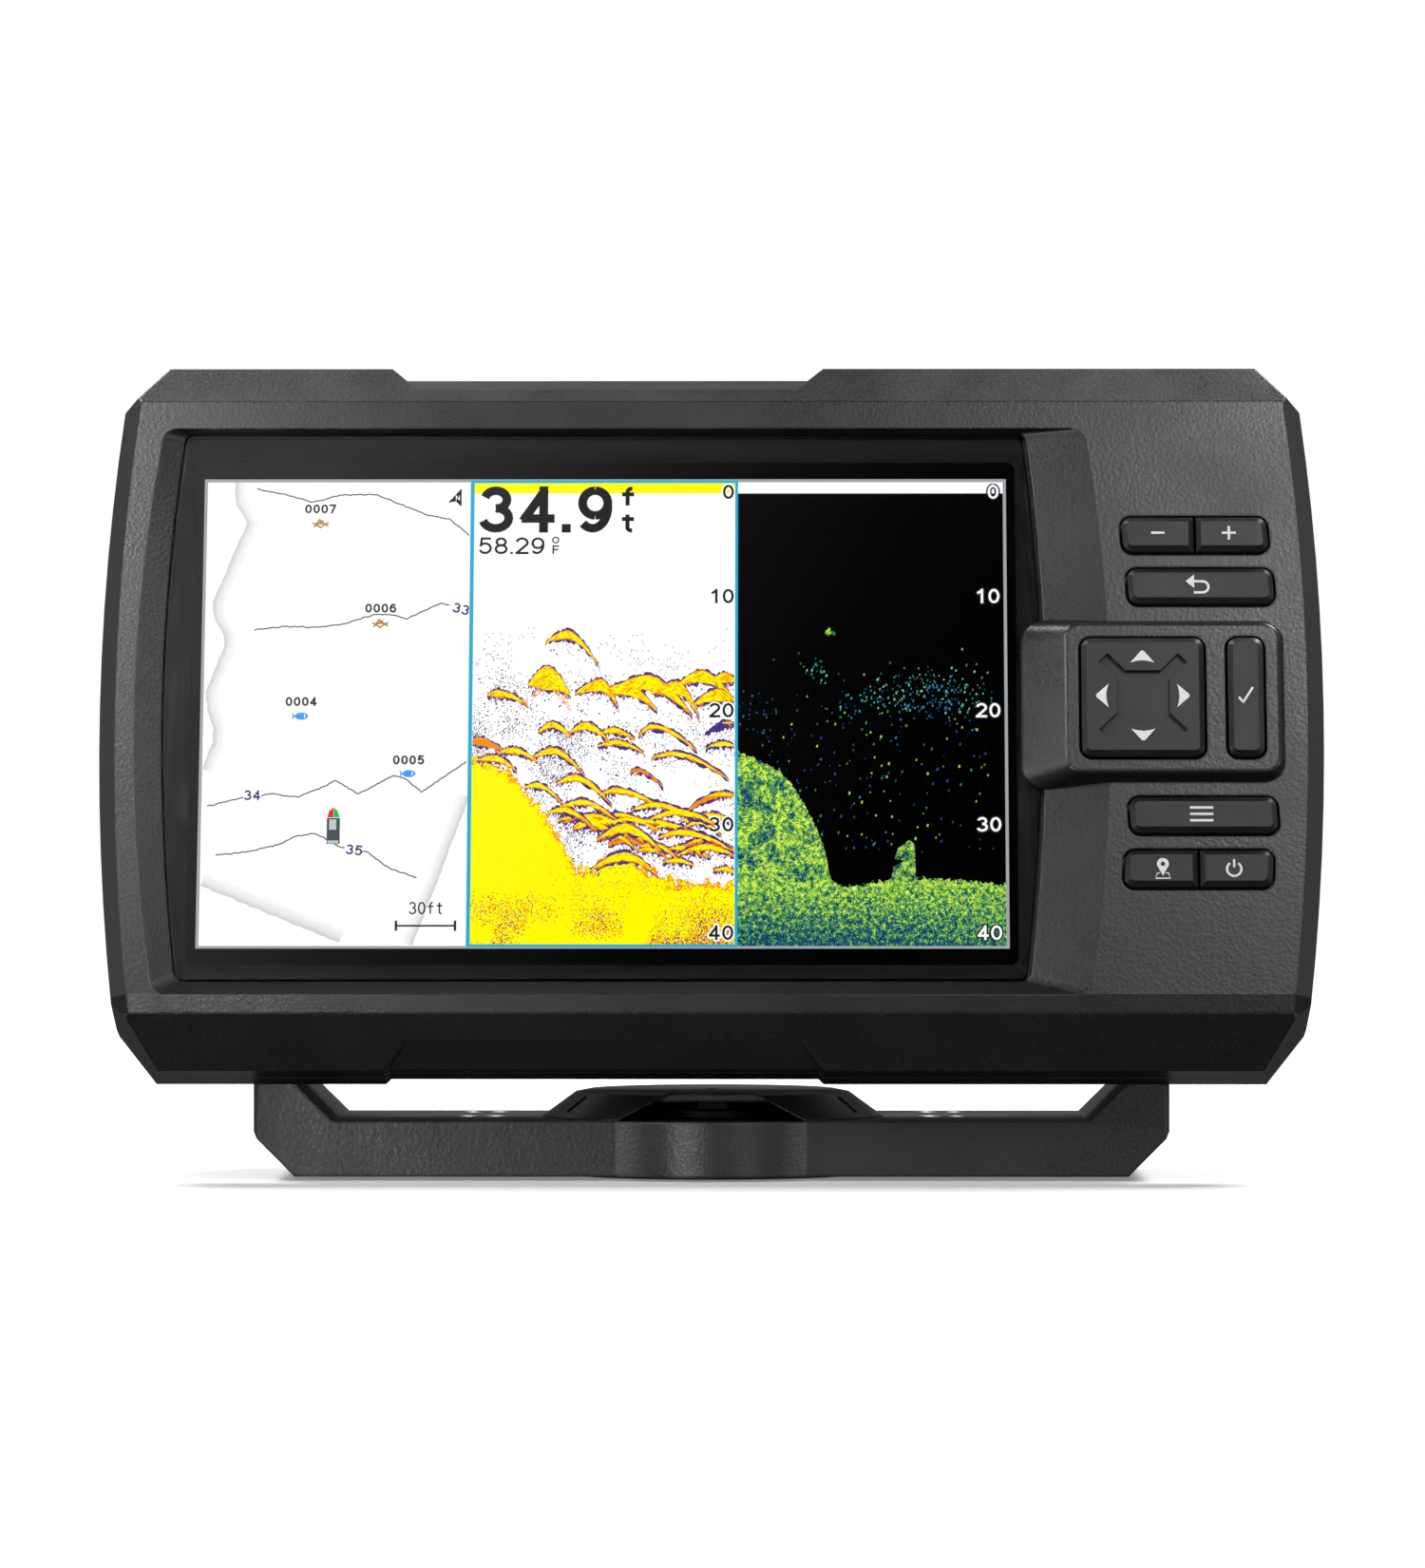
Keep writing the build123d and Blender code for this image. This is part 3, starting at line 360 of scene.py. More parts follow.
def oblong(x0, u0, x1, u1):
    return [(x0, u0), (x1, u0), (x1, u1), (x0, u1)]


def ribbon(points, width):
    """Outline of a line of some width along the points."""
    left = []
    right = []
    for i, (x, u) in enumerate(points):
        before = points[max(i - 1, 0)]
        after = points[min(i + 1, len(points) - 1)]
        along = math.atan2(after[1] - before[1], after[0] - before[0])
        dx, du = -math.sin(along) * width / 2, math.cos(along) * width / 2
        left.append((x + dx, u + du))
        right.append((x - dx, u - du))
    return left + right[::-1]


def disc(x, u, radius, count=24):
    turns = [2 * math.pi * i / count for i in range(count)]
    return [(x + radius * math.cos(turn), u + radius * math.sin(turn)) for turn in turns]


# ---- the lit picture ----
BACKLIGHT = 1.13         # makes up for what the cover glass takes away
# Layers of the picture, from the panel towards the glass
BASE, DUST, LINES, PADS, MARKS, TRIM = range(6)
ARCH_LAYERS = 2          # first of three layers for the piled echoes, then three for the single ones
STREAKS = 8
TEXT = 9
RULE = 11


# Screen millimetres: a from the left of the active display, b from its bottom.
def on_screen(points):
    return [(SCREEN_LEFT + a, SCREEN_BOTTOM + b) for a, b in points]


def layer(step):
    """Depth of a layer of the picture: higher steps lie nearer the glass."""
    return PICTURE_DEPTH - OVERLAY_STEP * step


def glow(name, colour):
    """A lit colour with the faint unevenness of a display panel."""
    s = Shader(name)
    uneven = s.noise(5200, detail=1.0)
    dim = tuple(value * 0.94 for value in colour)
    s.set(Base_Color=UNLIT, Roughness=0.5)
    s.bsdf.inputs["Specular IOR Level"].default_value = 0.0
    s.set(Emission_Color=s.mix(s.spread(uneven, 0.0, 1.0, 0.35, 0.65), dim, colour))
    s.bsdf.inputs["Emission Strength"].default_value = BACKLIGHT
    return s.material


UNLIT = (0.001, 0.001, 0.001, 1.0)
WHITE = (1.0, 1.0, 1.0)
INK = (0.012, 0.012, 0.014)
YELLOW = (1.0, 0.93, 0.0)
ORANGE = (0.95, 0.28, 0.0)
RED = (0.72, 0.05, 0.01)
PURPLE = (0.075, 0.03, 0.24)
LIME = (0.42, 0.72, 0.03)
LEAF = (0.05, 0.30, 0.06)
TEAL = (0.03, 0.22, 0.26)
NAVY = (0.012, 0.07, 0.24)
MINT = (0.22, 0.62, 0.30)
SKY = (0.04, 0.30, 0.50)


class ScreenShader(Shader):
    """A material drawn in screen millimetres, in square display dots."""

    DOT = 0.19

    def __init__(self, name):
        super().__init__(name)
        source = self.node("ShaderNodeUVMap", uv_map="screen")
        self.mm = source.outputs["UV"]
        parts = self.node("ShaderNodeSeparateXYZ")
        self.link(self.mm, parts.inputs["Vector"])
        self.a = parts.outputs["X"]
        self.b = parts.outputs["Y"]
        snap = self.node("ShaderNodeVectorMath", operation="SNAP")
        snap.inputs[1].default_value = (self.DOT, self.DOT, 1.0)
        self.link(self.mm, snap.inputs[0])
        self.dot = snap.outputs["Vector"]

    def random(self, seed):
        """One random value for each dot."""
        shift = self.node("ShaderNodeVectorMath", operation="ADD")
        shift.inputs[1].default_value = (seed * 17.3, seed * 5.1, 0.0)
        self.link(self.dot, shift.inputs[0])
        noise = self.node("ShaderNodeTexWhiteNoise", noise_dimensions="2D")
        self.link(shift.outputs["Vector"], noise.inputs["Vector"])
        return noise.outputs["Value"]

    def cloud(self, size, seed=0.0, detail=3.0, stretch=1.0):
        """Smooth noise with features of a size in millimetres."""
        mapping = self.node("ShaderNodeMapping")
        mapping.inputs["Scale"].default_value = (1 / size, stretch / size, 1.0)
        mapping.inputs["Location"].default_value = (seed, seed * 0.7, seed)
        self.link(self.dot, mapping.inputs["Vector"])
        noise = self.node("ShaderNodeTexNoise", noise_dimensions="2D")
        noise.inputs["Scale"].default_value = 1.0
        noise.inputs["Detail"].default_value = detail
        self.link(mapping.outputs["Vector"], noise.inputs["Vector"])
        return noise.outputs["Fac"]

    def profile(self, points):
        """A height for each place across the screen, through a few (a, b) points."""
        curve = self.node("ShaderNodeFloatCurve")
        line = curve.mapping.curves[0]
        scaled = [(a / SCREEN_WIDTH, b / SCREEN_HEIGHT) for a, b in points]
        line.points[0].location = scaled[0]
        line.points[1].location = scaled[-1]
        for place in scaled[1:-1]:
            line.points.new(*place)
        curve.mapping.update()
        self.link(self.maths("DIVIDE", self.a, SCREEN_WIDTH), curve.inputs["Value"])
        return self.maths("MULTIPLY", curve.outputs["Value"], SCREEN_HEIGHT)

    def under(self, value, limit):
        return self.maths("LESS_THAN", value, limit)

    def shine(self, colour):
        self.set(Base_Color=UNLIT, Roughness=0.5, Emission_Color=colour)
        self.bsdf.inputs["Specular IOR Level"].default_value = 0.0
        self.bsdf.inputs["Emission Strength"].default_value = BACKLIGHT
        return self.material


def screen_sheet(name, outline, step, material):
    """A flat piece that carries screen millimetres as its UV map."""
    piece = flat_shapes(name, [on_screen(outline)], layer(step), material)
    uv = piece.data.uv_layers.new(name="screen")
    for loop in piece.data.loops:
        uv.data[loop.index].uv = outline[loop.vertex_index]
    return piece


BOTTOM_PROFILE = [
    (50.8, 37.4), (57.2, 35.0), (61.2, 30.8), (65.3, 25.4), (69.3, 18.8), (72.2, 14.8),
    (78.5, 17.4), (84.3, 15.2), (89.0, 13.1), (101.6, 12.4),
]
REEF_PROFILE = [
    (101.6, 38.0), (105.6, 36.2), (110.2, 33.5), (113.1, 29.6), (116.0, 24.2), (118.3, 18.2),
    (120.1, 12.2), (132.8, 13.1), (140.9, 12.9), (152.4, 11.8),
]


def sonar_sheet():
    """White water with dark specks, over a bright yellow bottom that breaks up into orange and purple."""
    s = ScreenShader("sonar_picture")
    chance = s.random(1.0)
    other = s.random(2.0)
    depth = s.spread(s.b, 0.0, 0.30, 63.0, 44.0)
    patch = s.spread(s.cloud(9.0, 3.0), 0.0, 1.0, 0.42, 0.66)
    left = s.spread(s.a, 1.0, 0.25, 66.0, 84.0)
    density = s.maths("MULTIPLY", s.maths("MULTIPLY", depth, patch), left)
    ink = s.mix(s.under(other, 0.6), (0.02, 0.02, 0.03), PURPLE)
    water = s.mix(s.under(chance, density), WHITE, ink)

    floor = s.profile(BOTTOM_PROFILE)
    ragged = s.spread(s.cloud(1.4, 8.0), -1.6, 1.6, 0.25, 0.75)
    surface = s.maths("ADD", floor, ragged)
    below = s.maths("SUBTRACT", surface, s.b)
    fringe = s.maths("LESS_THAN", below, s.maths("MULTIPLY", other, 1.6))
    low = s.spread(s.b, 0.95, 0.0, 0.0, 11.0)
    corner = s.spread(s.cloud(13.0, 5.0), 0.0, 1.0, 0.40, 0.62)
    side = s.spread(s.a, 1.0, 0.75, 52.0, 68.0)
    broken = s.maths("MULTIPLY", s.maths("MULTIPLY", low, corner), side)
    right = s.maths("MULTIPLY", s.spread(s.a, 0.0, 0.5, 64.0, 72.0), s.spread(s.b, 0.0, 1.0, 17.0, 11.5))
    sparse = s.maths("MULTIPLY", right, s.spread(s.b, 0.0, 1.0, 8.0, 12.0))
    broken = s.maths("MAXIMUM", broken, s.maths("MULTIPLY", sparse, 0.12))
    mud = s.mix(s.under(chance, broken), YELLOW, ORANGE)
    mud = s.mix(s.under(chance, s.maths("MULTIPLY", broken, 0.62)), mud, RED)
    mud = s.mix(s.under(chance, s.maths("MULTIPLY", broken, 0.36)), mud, PURPLE)
    mud = s.mix(fringe, mud, ORANGE)
    picture = s.mix(s.maths("GREATER_THAN", below, 0.0), water, mud)
    bar = s.maths("GREATER_THAN", s.b, TITLE_BAR)
    return s.shine(s.mix(bar, picture, YELLOW))


def reef_sheet():
    """Black water, with a speckled green reef on the left and a green bottom."""
    s = ScreenShader("scan_picture")
    chance = s.random(4.0)
    grain = s.maths("ADD", s.maths("MULTIPLY", chance, 0.62), s.spread(s.cloud(0.9, 2.0), 0.0, 0.55, 0.3, 0.72))
    floor = s.profile(REEF_PROFILE)
    ragged = s.spread(s.cloud(0.7, 6.0), -0.6, 0.6, 0.25, 0.75)
    below = s.maths("SUBTRACT", s.maths("ADD", floor, ragged), s.b)
    shade = s.spread(s.cloud(3.4, 9.0), 0.32, -0.06, 0.36, 0.56)
    on_reef = s.maths("MULTIPLY", s.spread(s.a, 1.0, 0.0, 113.0, 121.0), s.spread(s.b, 0.0, 1.0, 10.0, 13.0))
    deep = s.maths("MULTIPLY", s.spread(s.b, 0.42, 0.0, 0.0, 11.5), s.spread(s.a, 1.0, 0.75, 118.0, 150.0))
    level = s.maths("SUBTRACT", grain, s.maths("MULTIPLY", shade, on_reef))
    level = s.maths("SUBTRACT", level, deep)
    green = s.ramp(level, [
        (0.10, (0.006, 0.04, 0.13)), (0.28, (0.01, 0.13, 0.17)), (0.44, (0.06, 0.30, 0.05)),
        (0.62, (0.30, 0.60, 0.03)), (0.95, (0.80, 0.98, 0.12)),
    ])
    picture = s.mix(s.maths("GREATER_THAN", below, 0.0), (0.0, 0.0, 0.0), green)
    bar = s.maths("GREATER_THAN", s.b, TITLE_BAR)
    return s.shine(s.mix(bar, picture, WHITE))


def chart_sheet():
    """White chart paper."""
    s = ScreenShader("chart_picture")
    tone = s.cloud(25.0, 1.0)
    return s.shine(s.ramp(tone, [(0.3, (0.97, 0.97, 0.97)), (0.7, WHITE)]))


def chart_shading():
    """Soft grey bands inside the edge of the surveyed area: dark at the edge, fading inwards."""
    s = ScreenShader("chart_shading")
    fade = s.node("ShaderNodeUVMap", uv_map="fade")
    parts = s.node("ShaderNodeSeparateXYZ")
    s.link(fade.outputs["UV"], parts.inputs["Vector"])
    across = s.maths("ADD", parts.outputs["X"], s.spread(s.cloud(2.0, 4.0), -0.05, 0.05, 0.3, 0.7))
    shades = [(0.0, (0.99, 0.99, 0.99)), (0.06, (0.60, 0.60, 0.60)), (0.35, (0.80, 0.80, 0.80)), (1.0, WHITE)]
    return s.shine(s.ramp(across, shades))


def shaded_edge(name, points, width):
    """A band along the points that fades across its width to the left of the way they run."""
    inner = []
    for i, (a, b) in enumerate(points):
        before = points[max(i - 1, 0)]
        after = points[min(i + 1, len(points) - 1)]
        along = math.atan2(after[1] - before[1], after[0] - before[0])
        shift_a = a - math.sin(along) * width
        shift_b = b + math.cos(along) * width
        inner.append((min(max(shift_a, 0.0), PANE_1), min(max(shift_b, 0.0), SCREEN_HEIGHT)))
    flat = points + inner
    count = len(points)
    faces = [(i, i + 1, count + i + 1, count + i) for i in range(count - 1)]
    vertices = [at(x, u, layer(DUST)) for x, u in on_screen(flat)]
    piece = mesh_piece(name, vertices, faces, PICTURE["shading"])
    screen = piece.data.uv_layers.new(name="screen")
    fade = piece.data.uv_layers.new(name="fade")
    for loop in piece.data.loops:
        screen.data[loop.index].uv = flat[loop.vertex_index]
        fade.data[loop.index].uv = (0.0 if loop.vertex_index < count else 1.0, 0.5)
    return piece


PICTURE = {
    "sonar": sonar_sheet(),
    "reef": reef_sheet(),
    "chart": chart_sheet(),
    "shading": chart_shading(),
    "navy": glow("lit_deep", NAVY),
    "navy_text": glow("lit_navy", (0.03, 0.02, 0.16)),
}
COLOURS = {
    "white": WHITE, "ink": INK, "yellow": YELLOW, "orange": ORANGE, "purple": PURPLE,
    "lime": LIME, "leaf": LEAF, "teal": TEAL, "mint": MINT, "sky": SKY,
    "line": (0.10, 0.10, 0.10), "blue": (0.02, 0.42, 0.68), "grey": (0.36, 0.38, 0.41),
    "fish": (0.05, 0.34, 0.85), "brush": (0.48, 0.22, 0.03), "red": (0.75, 0.02, 0.02),
    "green": (0.01, 0.55, 0.06), "slate": (0.06, 0.08, 0.09), "silver": (0.55, 0.56, 0.58),
}
for shade, rgb in COLOURS.items():
    PICTURE[shade] = glow("lit_" + shade, rgb)


def draw_shapes(name, outlines, step, colour):
    return flat_shapes(name, [on_screen(outline) for outline in outlines], layer(step), PICTURE[colour])


def arc(x, y, reach_x, reach_y, start, end, count=14):
    turns = [math.radians(start + (end - start) * i / count) for i in range(count + 1)]
    return [(x + reach_x * math.cos(turn), y + reach_y * math.sin(turn)) for turn in turns]


def ring(x, y, reach_x, reach_y):
    return [arc(x, y, reach_x, reach_y, -90, 90), arc(x, y, reach_x, reach_y, 90, 270)]


# Strokes of plain characters in a cell one wide and one tall
STROKES = {
    "0": ring(0.5, 0.5, 0.5, 0.5),
    "1": [[(0.66, 0.0), (0.66, 1.0)], [(0.24, 0.78), (0.62, 0.94)]],
    "2": [arc(0.5, 0.72, 0.5, 0.28, 170, -30) + [(0.06, 0.04)], [(0.0, 0.0), (1.0, 0.0)]],
    "3": [arc(0.48, 0.76, 0.44, 0.24, 165, -90), arc(0.48, 0.27, 0.52, 0.27, 90, -165)],
    "4": [[(0.74, 0.0), (0.74, 1.0)], [(0.70, 0.93), (0.02, 0.29)], [(0.04, 0.26), (1.0, 0.26)]],
    "5": [[(0.2, 1.0), (0.9, 1.0)], [(0.17, 0.98), (0.08, 0.52)], arc(0.48, 0.33, 0.52, 0.33, 142, -160)],
    "6": ring(0.5, 0.33, 0.5, 0.33) + [arc(0.60, 0.44, 0.60, 0.56, 190, 50)],
    "7": [[(0.0, 1.0), (1.0, 1.0)], [(0.97, 0.97), (0.36, 0.0)]],
    "8": ring(0.5, 0.76, 0.42, 0.24) + ring(0.5, 0.27, 0.5, 0.27),
    "9": ring(0.5, 0.67, 0.5, 0.33) + [arc(0.40, 0.56, 0.60, 0.56, 10, -130)],
    "f": [arc(0.8, 0.82, 0.38, 0.18, 85, 180, 8) + [(0.42, 0.0)], [(0.12, 0.66), (0.8, 0.66)]],
    "t": [[(0.42, 1.0)] + arc(0.8, 0.18, 0.38, 0.18, 180, 275, 8), [(0.12, 0.72), (0.8, 0.72)]],
    "F": [[(0.0, 0.0), (0.0, 1.0)], [(0.0, 1.0), (0.95, 1.0)], [(0.0, 0.52), (0.8, 0.52)]],
    "N": [[(0.0, 0.0), (0.0, 1.0)], [(0.0, 1.0), (1.0, 0.0)], [(1.0, 0.0), (1.0, 1.0)]],
}
CHARACTER_GAP = 0.21


def squared_ends(points, extra):
    """Lengthens a straight stroke at both ends."""
    (x0, y0), (x1, y1) = points
    reach = math.hypot(x1 - x0, y1 - y0)
    dx, dy = (x1 - x0) / reach * extra, (y1 - y0) / reach * extra
    return [(x0 - dx, y0 - dy), (x1 + dx, y1 + dy)]


def draw_strokes(name, text, a, b, size, stroke, step, colour, align="LEFT", grow=0.0, turn=0.0):
    """Plain stroked characters; size is the width and height of one, grow thickens them for a halo."""
    width, height = size
    widths = [stroke if character == "." else width for character in text]
    total = sum(widths) + CHARACTER_GAP * width * (len(text) - 1)
    start = {"LEFT": 0.0, "CENTER": -total / 2, "RIGHT": -total}[align]
    outlines = []
    for character, wide in zip(text, widths):
        if character == ".":
            outlines.append(oblong(start - grow, -grow, start + stroke + grow, stroke + grow))
        for points in STROKES.get(character, []):
            line = [(start + stroke / 2 + x * (wide - stroke), stroke / 2 + y * (height - stroke)) for x, y in points]
            if len(line) == 2:
                line = squared_ends(line, stroke / 2 + grow)
            outlines.append(ribbon(line, stroke + 2 * grow))
        start += wide + CHARACTER_GAP * width
    cos, sin = math.cos(turn), math.sin(turn)
    placed = [[(a + x * cos - y * sin, b + x * sin + y * cos) for x, y in outline] for outline in outlines]
    return draw_shapes(name, placed, step, colour)


def pixel_line(points, seed, wobble=0.12, pitch=0.5):
    """Splits a line into short steps with a slight tremble, as a display draws it."""
    rng = random.Random(seed)
    line = []
    for (a0, b0), (a1, b1) in zip(points, points[1:]):
        steps = max(1, int(math.hypot(a1 - a0, b1 - b0) / pitch))
        for i in range(steps):
            t = i / steps
            line.append((a0 + (a1 - a0) * t, b0 + (b1 - b0) * t + rng.uniform(-wobble, wobble)))
    return line + [points[-1]]


CONTOURS = [
    [(9.4, 90.1), (15.2, 88.9), (20.1, 87.4), (25.8, 88.9), (32.2, 89.0), (38.5, 86.4), (42.0, 84.9),
     (46.4, 84.1), (50.2, 80.8)],
    [(9.4, 62.0), (15.2, 62.7), (20.8, 62.5), (26.5, 63.2), (32.2, 65.0), (35.5, 65.0), (38.4, 64.2),
     (45.2, 67.4), (46.6, 66.9)],
    [(1.1, 27.2), (7.6, 28.9), (13.2, 29.7), (18.2, 29.0), (23.2, 31.0), (25.3, 32.3), (29.7, 29.6), (36.3, 33.2),
     (38.4, 32.8), (41.7, 30.0), (50.2, 36.0)],
    [(2.9, 17.7), (9.0, 18.3), (14.7, 19.7), (18.0, 21.3), (21.8, 21.9), (26.5, 19.2), (31.6, 18.2), (35.8, 15.1),
     (41.0, 13.3)],
]
DEPTH_LABELS = [("33", 48.6, 65.2, -0.25), ("34", 9.6, 28.4, 0.0), ("35", 29.0, 17.7, -0.12)]
WAYPOINTS = [("0007", 21.7, 85.2), ("0006", 33.5, 65.4), ("0004", 18.6, 46.9), ("0005", 39.2, 35.4)]


def brush_mark(a, b):
    """A heap of crossed sticks."""
    sticks = [(-1.5, 0.2, 0.2, -0.8), (-1.3, -0.6, 0.6, 0.7), (-0.4, 0.9, 1.5, -0.5), (-0.2, -0.8, 1.6, 0.3),
              (-0.8, 0.1, 1.4, 0.0), (-1.0, -0.2, 0.0, 0.9)]
    return [ribbon([(a + x0, b + y0), (a + x1, b + y1)], 0.3) for x0, y0, x1, y1 in sticks]


def fish_mark(a, b):
    """A small fish that faces right."""
    body = [(a + 0.2 + 1.25 * math.cos(t), b + 0.72 * math.sin(t)) for t in (2 * math.pi * i / 20 for i in range(20))]
    tail = [(a - 0.95, b), (a - 1.6, b + 0.72), (a - 1.45, b), (a - 1.6, b - 0.72)]
    return [body, tail]


def chart_pane():
    screen_sheet("chart_base", oblong(0, 0, PANE_1, SCREEN_HEIGHT), BASE, PICTURE["chart"])
    west = [(5.2, SCREEN_HEIGHT), (5.0, 89.0), (5.6, 86.6), (7.6, 83.4), (1.3, 67.6), (1.5, 64.6), (3.6, 60.8),
            (3.7, 59.2), (0.3, 49.6), (0.6, 46.6), (1.9, 42.6), (1.8, 40.0), (0.0, 34.5)]
    shaded_edge("chart_west_edge", west, 2.9)
    shaded_edge("chart_south_edge", [(0.0, 11.6), (10.0, 7.4), (20.0, 3.2), (26.5, 0.6)], 3.4)
    shaded_edge("chart_east_edge", [(40.4, 0.0), (45.0, 12.5), (50.2, 27.0), (50.8, 29.0)], 2.6)
    lines = [ribbon(pixel_line(points, i), 0.26) for i, points in enumerate(CONTOURS)]
    draw_shapes("chart_contours", lines, LINES, "line")
    pads = [disc(a, b + 1.0, 1.75, 16) for _, a, b, _ in DEPTH_LABELS]
    draw_shapes("chart_label_pads", pads, PADS, "white")
    for text, a, b, turn in DEPTH_LABELS:
        draw_strokes("chart_depth_" + text, text, a, b, (1.42, 1.95), 0.34, MARKS, "navy_text", "CENTER", turn=turn)
    for text, a, b in WAYPOINTS:
        draw_strokes("chart_mark_" + text, text, a, b, (1.28, 1.8), 0.36, MARKS, "ink", "CENTER")
    brushes = brush_mark(21.7, 83.1) + brush_mark(33.4, 63.2)
    draw_shapes("chart_brush_marks", brushes, MARKS, "brush")
    draw_shapes("chart_fish_marks", fish_mark(18.5, 44.9) + fish_mark(39.1, 33.6), MARKS, "fish")
    gills = [oblong(a, b - 0.35, a + 0.22, b + 0.35) for a, b in ((19.2, 44.9), (39.8, 33.6))]
    draw_shapes("chart_fish_gills", gills, TRIM, "white")
    boat_mark()
    draw_shapes("chart_north_arrow", [[(48.7, 90.2), (46.1, 87.3), (47.6, 87.6), (48.7, 86.5)]], MARKS, "ink")
    draw_strokes("chart_north_letter", "N", 47.6, 87.8, (0.75, 0.95), 0.17, TRIM, "white")
    bar = [oblong(37.0, 3.72, 48.6, 4.08), oblong(37.0, 2.9, 37.45, 4.9), oblong(48.15, 2.9, 48.6, 4.9)]
    draw_shapes("chart_scale_bar", bar, MARKS, "ink")
    draw_strokes("chart_scale_text", "30ft", 42.9, 6.1, (1.42, 2.45), 0.3, MARKS, "ink", "CENTER")


def boat_mark():
    a, b = 25.1, 23.0
    draw_shapes("chart_boat_hull", [oblong(a - 1.25, b - 3.2, a + 1.25, b + 1.9)], MARKS, "slate")
    deck = [oblong(a - 0.8, b - 0.4, a + 0.55, b + 1.6), oblong(a - 1.1, b - 3.1, a + 1.0, b - 2.5)]
    draw_shapes("chart_boat_deck", deck, TRIM, "silver")
    port = [(a - 1.2, b + 2.0), (a - 0.02, b + 2.0), (a - 0.02, b + 4.0), (a - 0.8, b + 3.3)]
    draw_shapes("chart_boat_port", [port], TRIM, "red")
    starboard = [(a + 0.02, b + 2.0), (a + 1.2, b + 2.0), (a + 0.8, b + 3.3), (a + 0.02, b + 4.0)]
    draw_shapes("chart_boat_starboard", [starboard], TRIM, "green")


PANE_RIM = 0.6           # echoes stop this far inside the pane
SEABED_TOP = 13.5
# Arches of single fish and shoals: apex a and b, reach and drop to the left, reach and drop to the right, thickness
ARCHES = [
    (69.0, 61.8, 4.0, 2.4, 6.2, 7.0, 1.4), (65.4, 54.8, 3.6, 3.6, 4.4, 5.6, 4.6),
    (56.0, 50.0, 2.0, 0.8, 5.8, 2.9, 1.1), (75.7, 52.2, 5.0, 2.8, 3.4, 6.0, 2.2),
    (80.2, 51.4, 4.0, 1.6, 6.2, 5.4, 2.2), (84.5, 53.0, 5.6, 2.0, 8.6, 8.2, 2.8),
    (90.2, 51.8, 5.0, 2.2, 4.2, 7.2, 2.4), (94.7, 53.9, 4.6, 3.0, 5.4, 4.4, 2.2),
    (99.2, 53.4, 3.2, 2.0, 2.3, 1.6, 1.8), (98.0, 50.2, 5.0, 3.2, 3.5, 2.2, 2.2),
    (66.4, 43.8, 2.7, 2.1, 3.8, 3.2, 1.1), (72.8, 43.7, 3.2, 2.2, 4.7, 4.0, 1.3),
    (78.0, 42.6, 2.2, 1.0, 4.2, 2.3, 0.9), (85.4, 43.3, 2.6, 2.2, 8.6, 5.2, 0.7),
    (78.6, 40.2, 3.6, 1.2, 5.3, 2.6, 0.8), (52.4, 40.6, 1.4, 0.3, 4.8, 2.4, 1.3),
    (58.9, 38.7, 2.4, 0.8, 4.8, 2.6, 1.0), (66.4, 38.7, 3.6, 1.9, 6.2, 5.4, 1.1),
    (55.4, 37.2, 3.2, 0.8, 4.4, 3.2, 1.0), (70.7, 33.4, 3.4, 1.8, 7.2, 6.2, 1.1),
    (63.5, 31.8, 2.2, 0.9, 5.2, 4.4, 0.8), (78.6, 30.8, 3.0, 1.4, 8.4, 3.8, 0.8),
    (72.2, 28.5, 4.0, 1.4, 6.4, 3.8, 0.9), (68.6, 27.0, 3.0, 1.0, 6.0, 4.2, 0.9),
    (89.5, 37.9, 4.2, 1.2, 10.6, 5.6, 0.7), (99.6, 43.8, 4.2, 2.6, 1.9, 0.4, 0.9),
    (98.8, 39.9, 3.2, 1.3, 2.7, 1.0, 0.8), (98.6, 30.0, 6.6, 3.8, 2.9, 0.7, 0.9),
    (82.6, 34.4, 1.4, 0.4, 5.0, 3.6, 0.3), (90.4, 26.6, 5.2, 1.8, 7.8, 3.4, 1.0),
    (86.0, 28.0, 4.6, 1.6, 7.6, 3.2, 0.9), (80.4, 23.8, 5.4, 3.2, 6.8, 5.4, 1.7),
    (91.2, 22.6, 4.6, 1.5, 9.2, 3.8, 0.9), (95.6, 19.8, 5.4, 2.2, 5.8, 2.4, 1.0),
    (80.2, 18.2, 6.4, 3.6, 6.4, 4.4, 1.5),
]


def on_arch(arch, t):
    """A point on the upper edge of an arch: t is -1 at its left foot, 0 at its apex and 1 at its right foot."""
    a, b, left, drop_left, right, drop_right, _ = arch
    reach, drop = (left, drop_left) if t < 0 else (right, drop_right)
    return a + t * reach, b - drop * abs(t) ** 1.7


def arch_outline(arch, grow, rng, rough):
    """Crescent that is thickest at its apex, with ragged edges."""
    upper = []
    lower = []
    steps = 26
    for i in range(steps + 1):
        t = -1 + 2 * i / steps
        x, y = on_arch(arch, t)
        body = arch[-1] * (1 - abs(t) ** 1.6) + 0.16
        upper.append((x, min(y + grow + rng.uniform(-rough, rough), TITLE_BAR - 0.7)))
        lower.append((x, y - body - grow + rng.uniform(-rough, rough) * 1.6))
    points = upper + lower[::-1]
    return [(min(max(x, PANE_1 + PANE_RIM), PANE_2 - PANE_RIM), y) for x, y in points]


def random_arches(rng):
    """The dense pile of echoes over the bottom on the right."""
    arches = []
    for _ in range(34):
        a = rng.uniform(70.0, 100.5)
        low = 27.0 - (a - 66.0) * 0.42
        b = rng.uniform(low, 28.5 if a > 80 else 26.0)
        arches.append((a, b, rng.uniform(1.8, 4.2), rng.uniform(0.5, 1.6), rng.uniform(2.6, 6.2),
                       rng.uniform(1.2, 3.4), rng.uniform(0.25, 0.8)))
    return arches


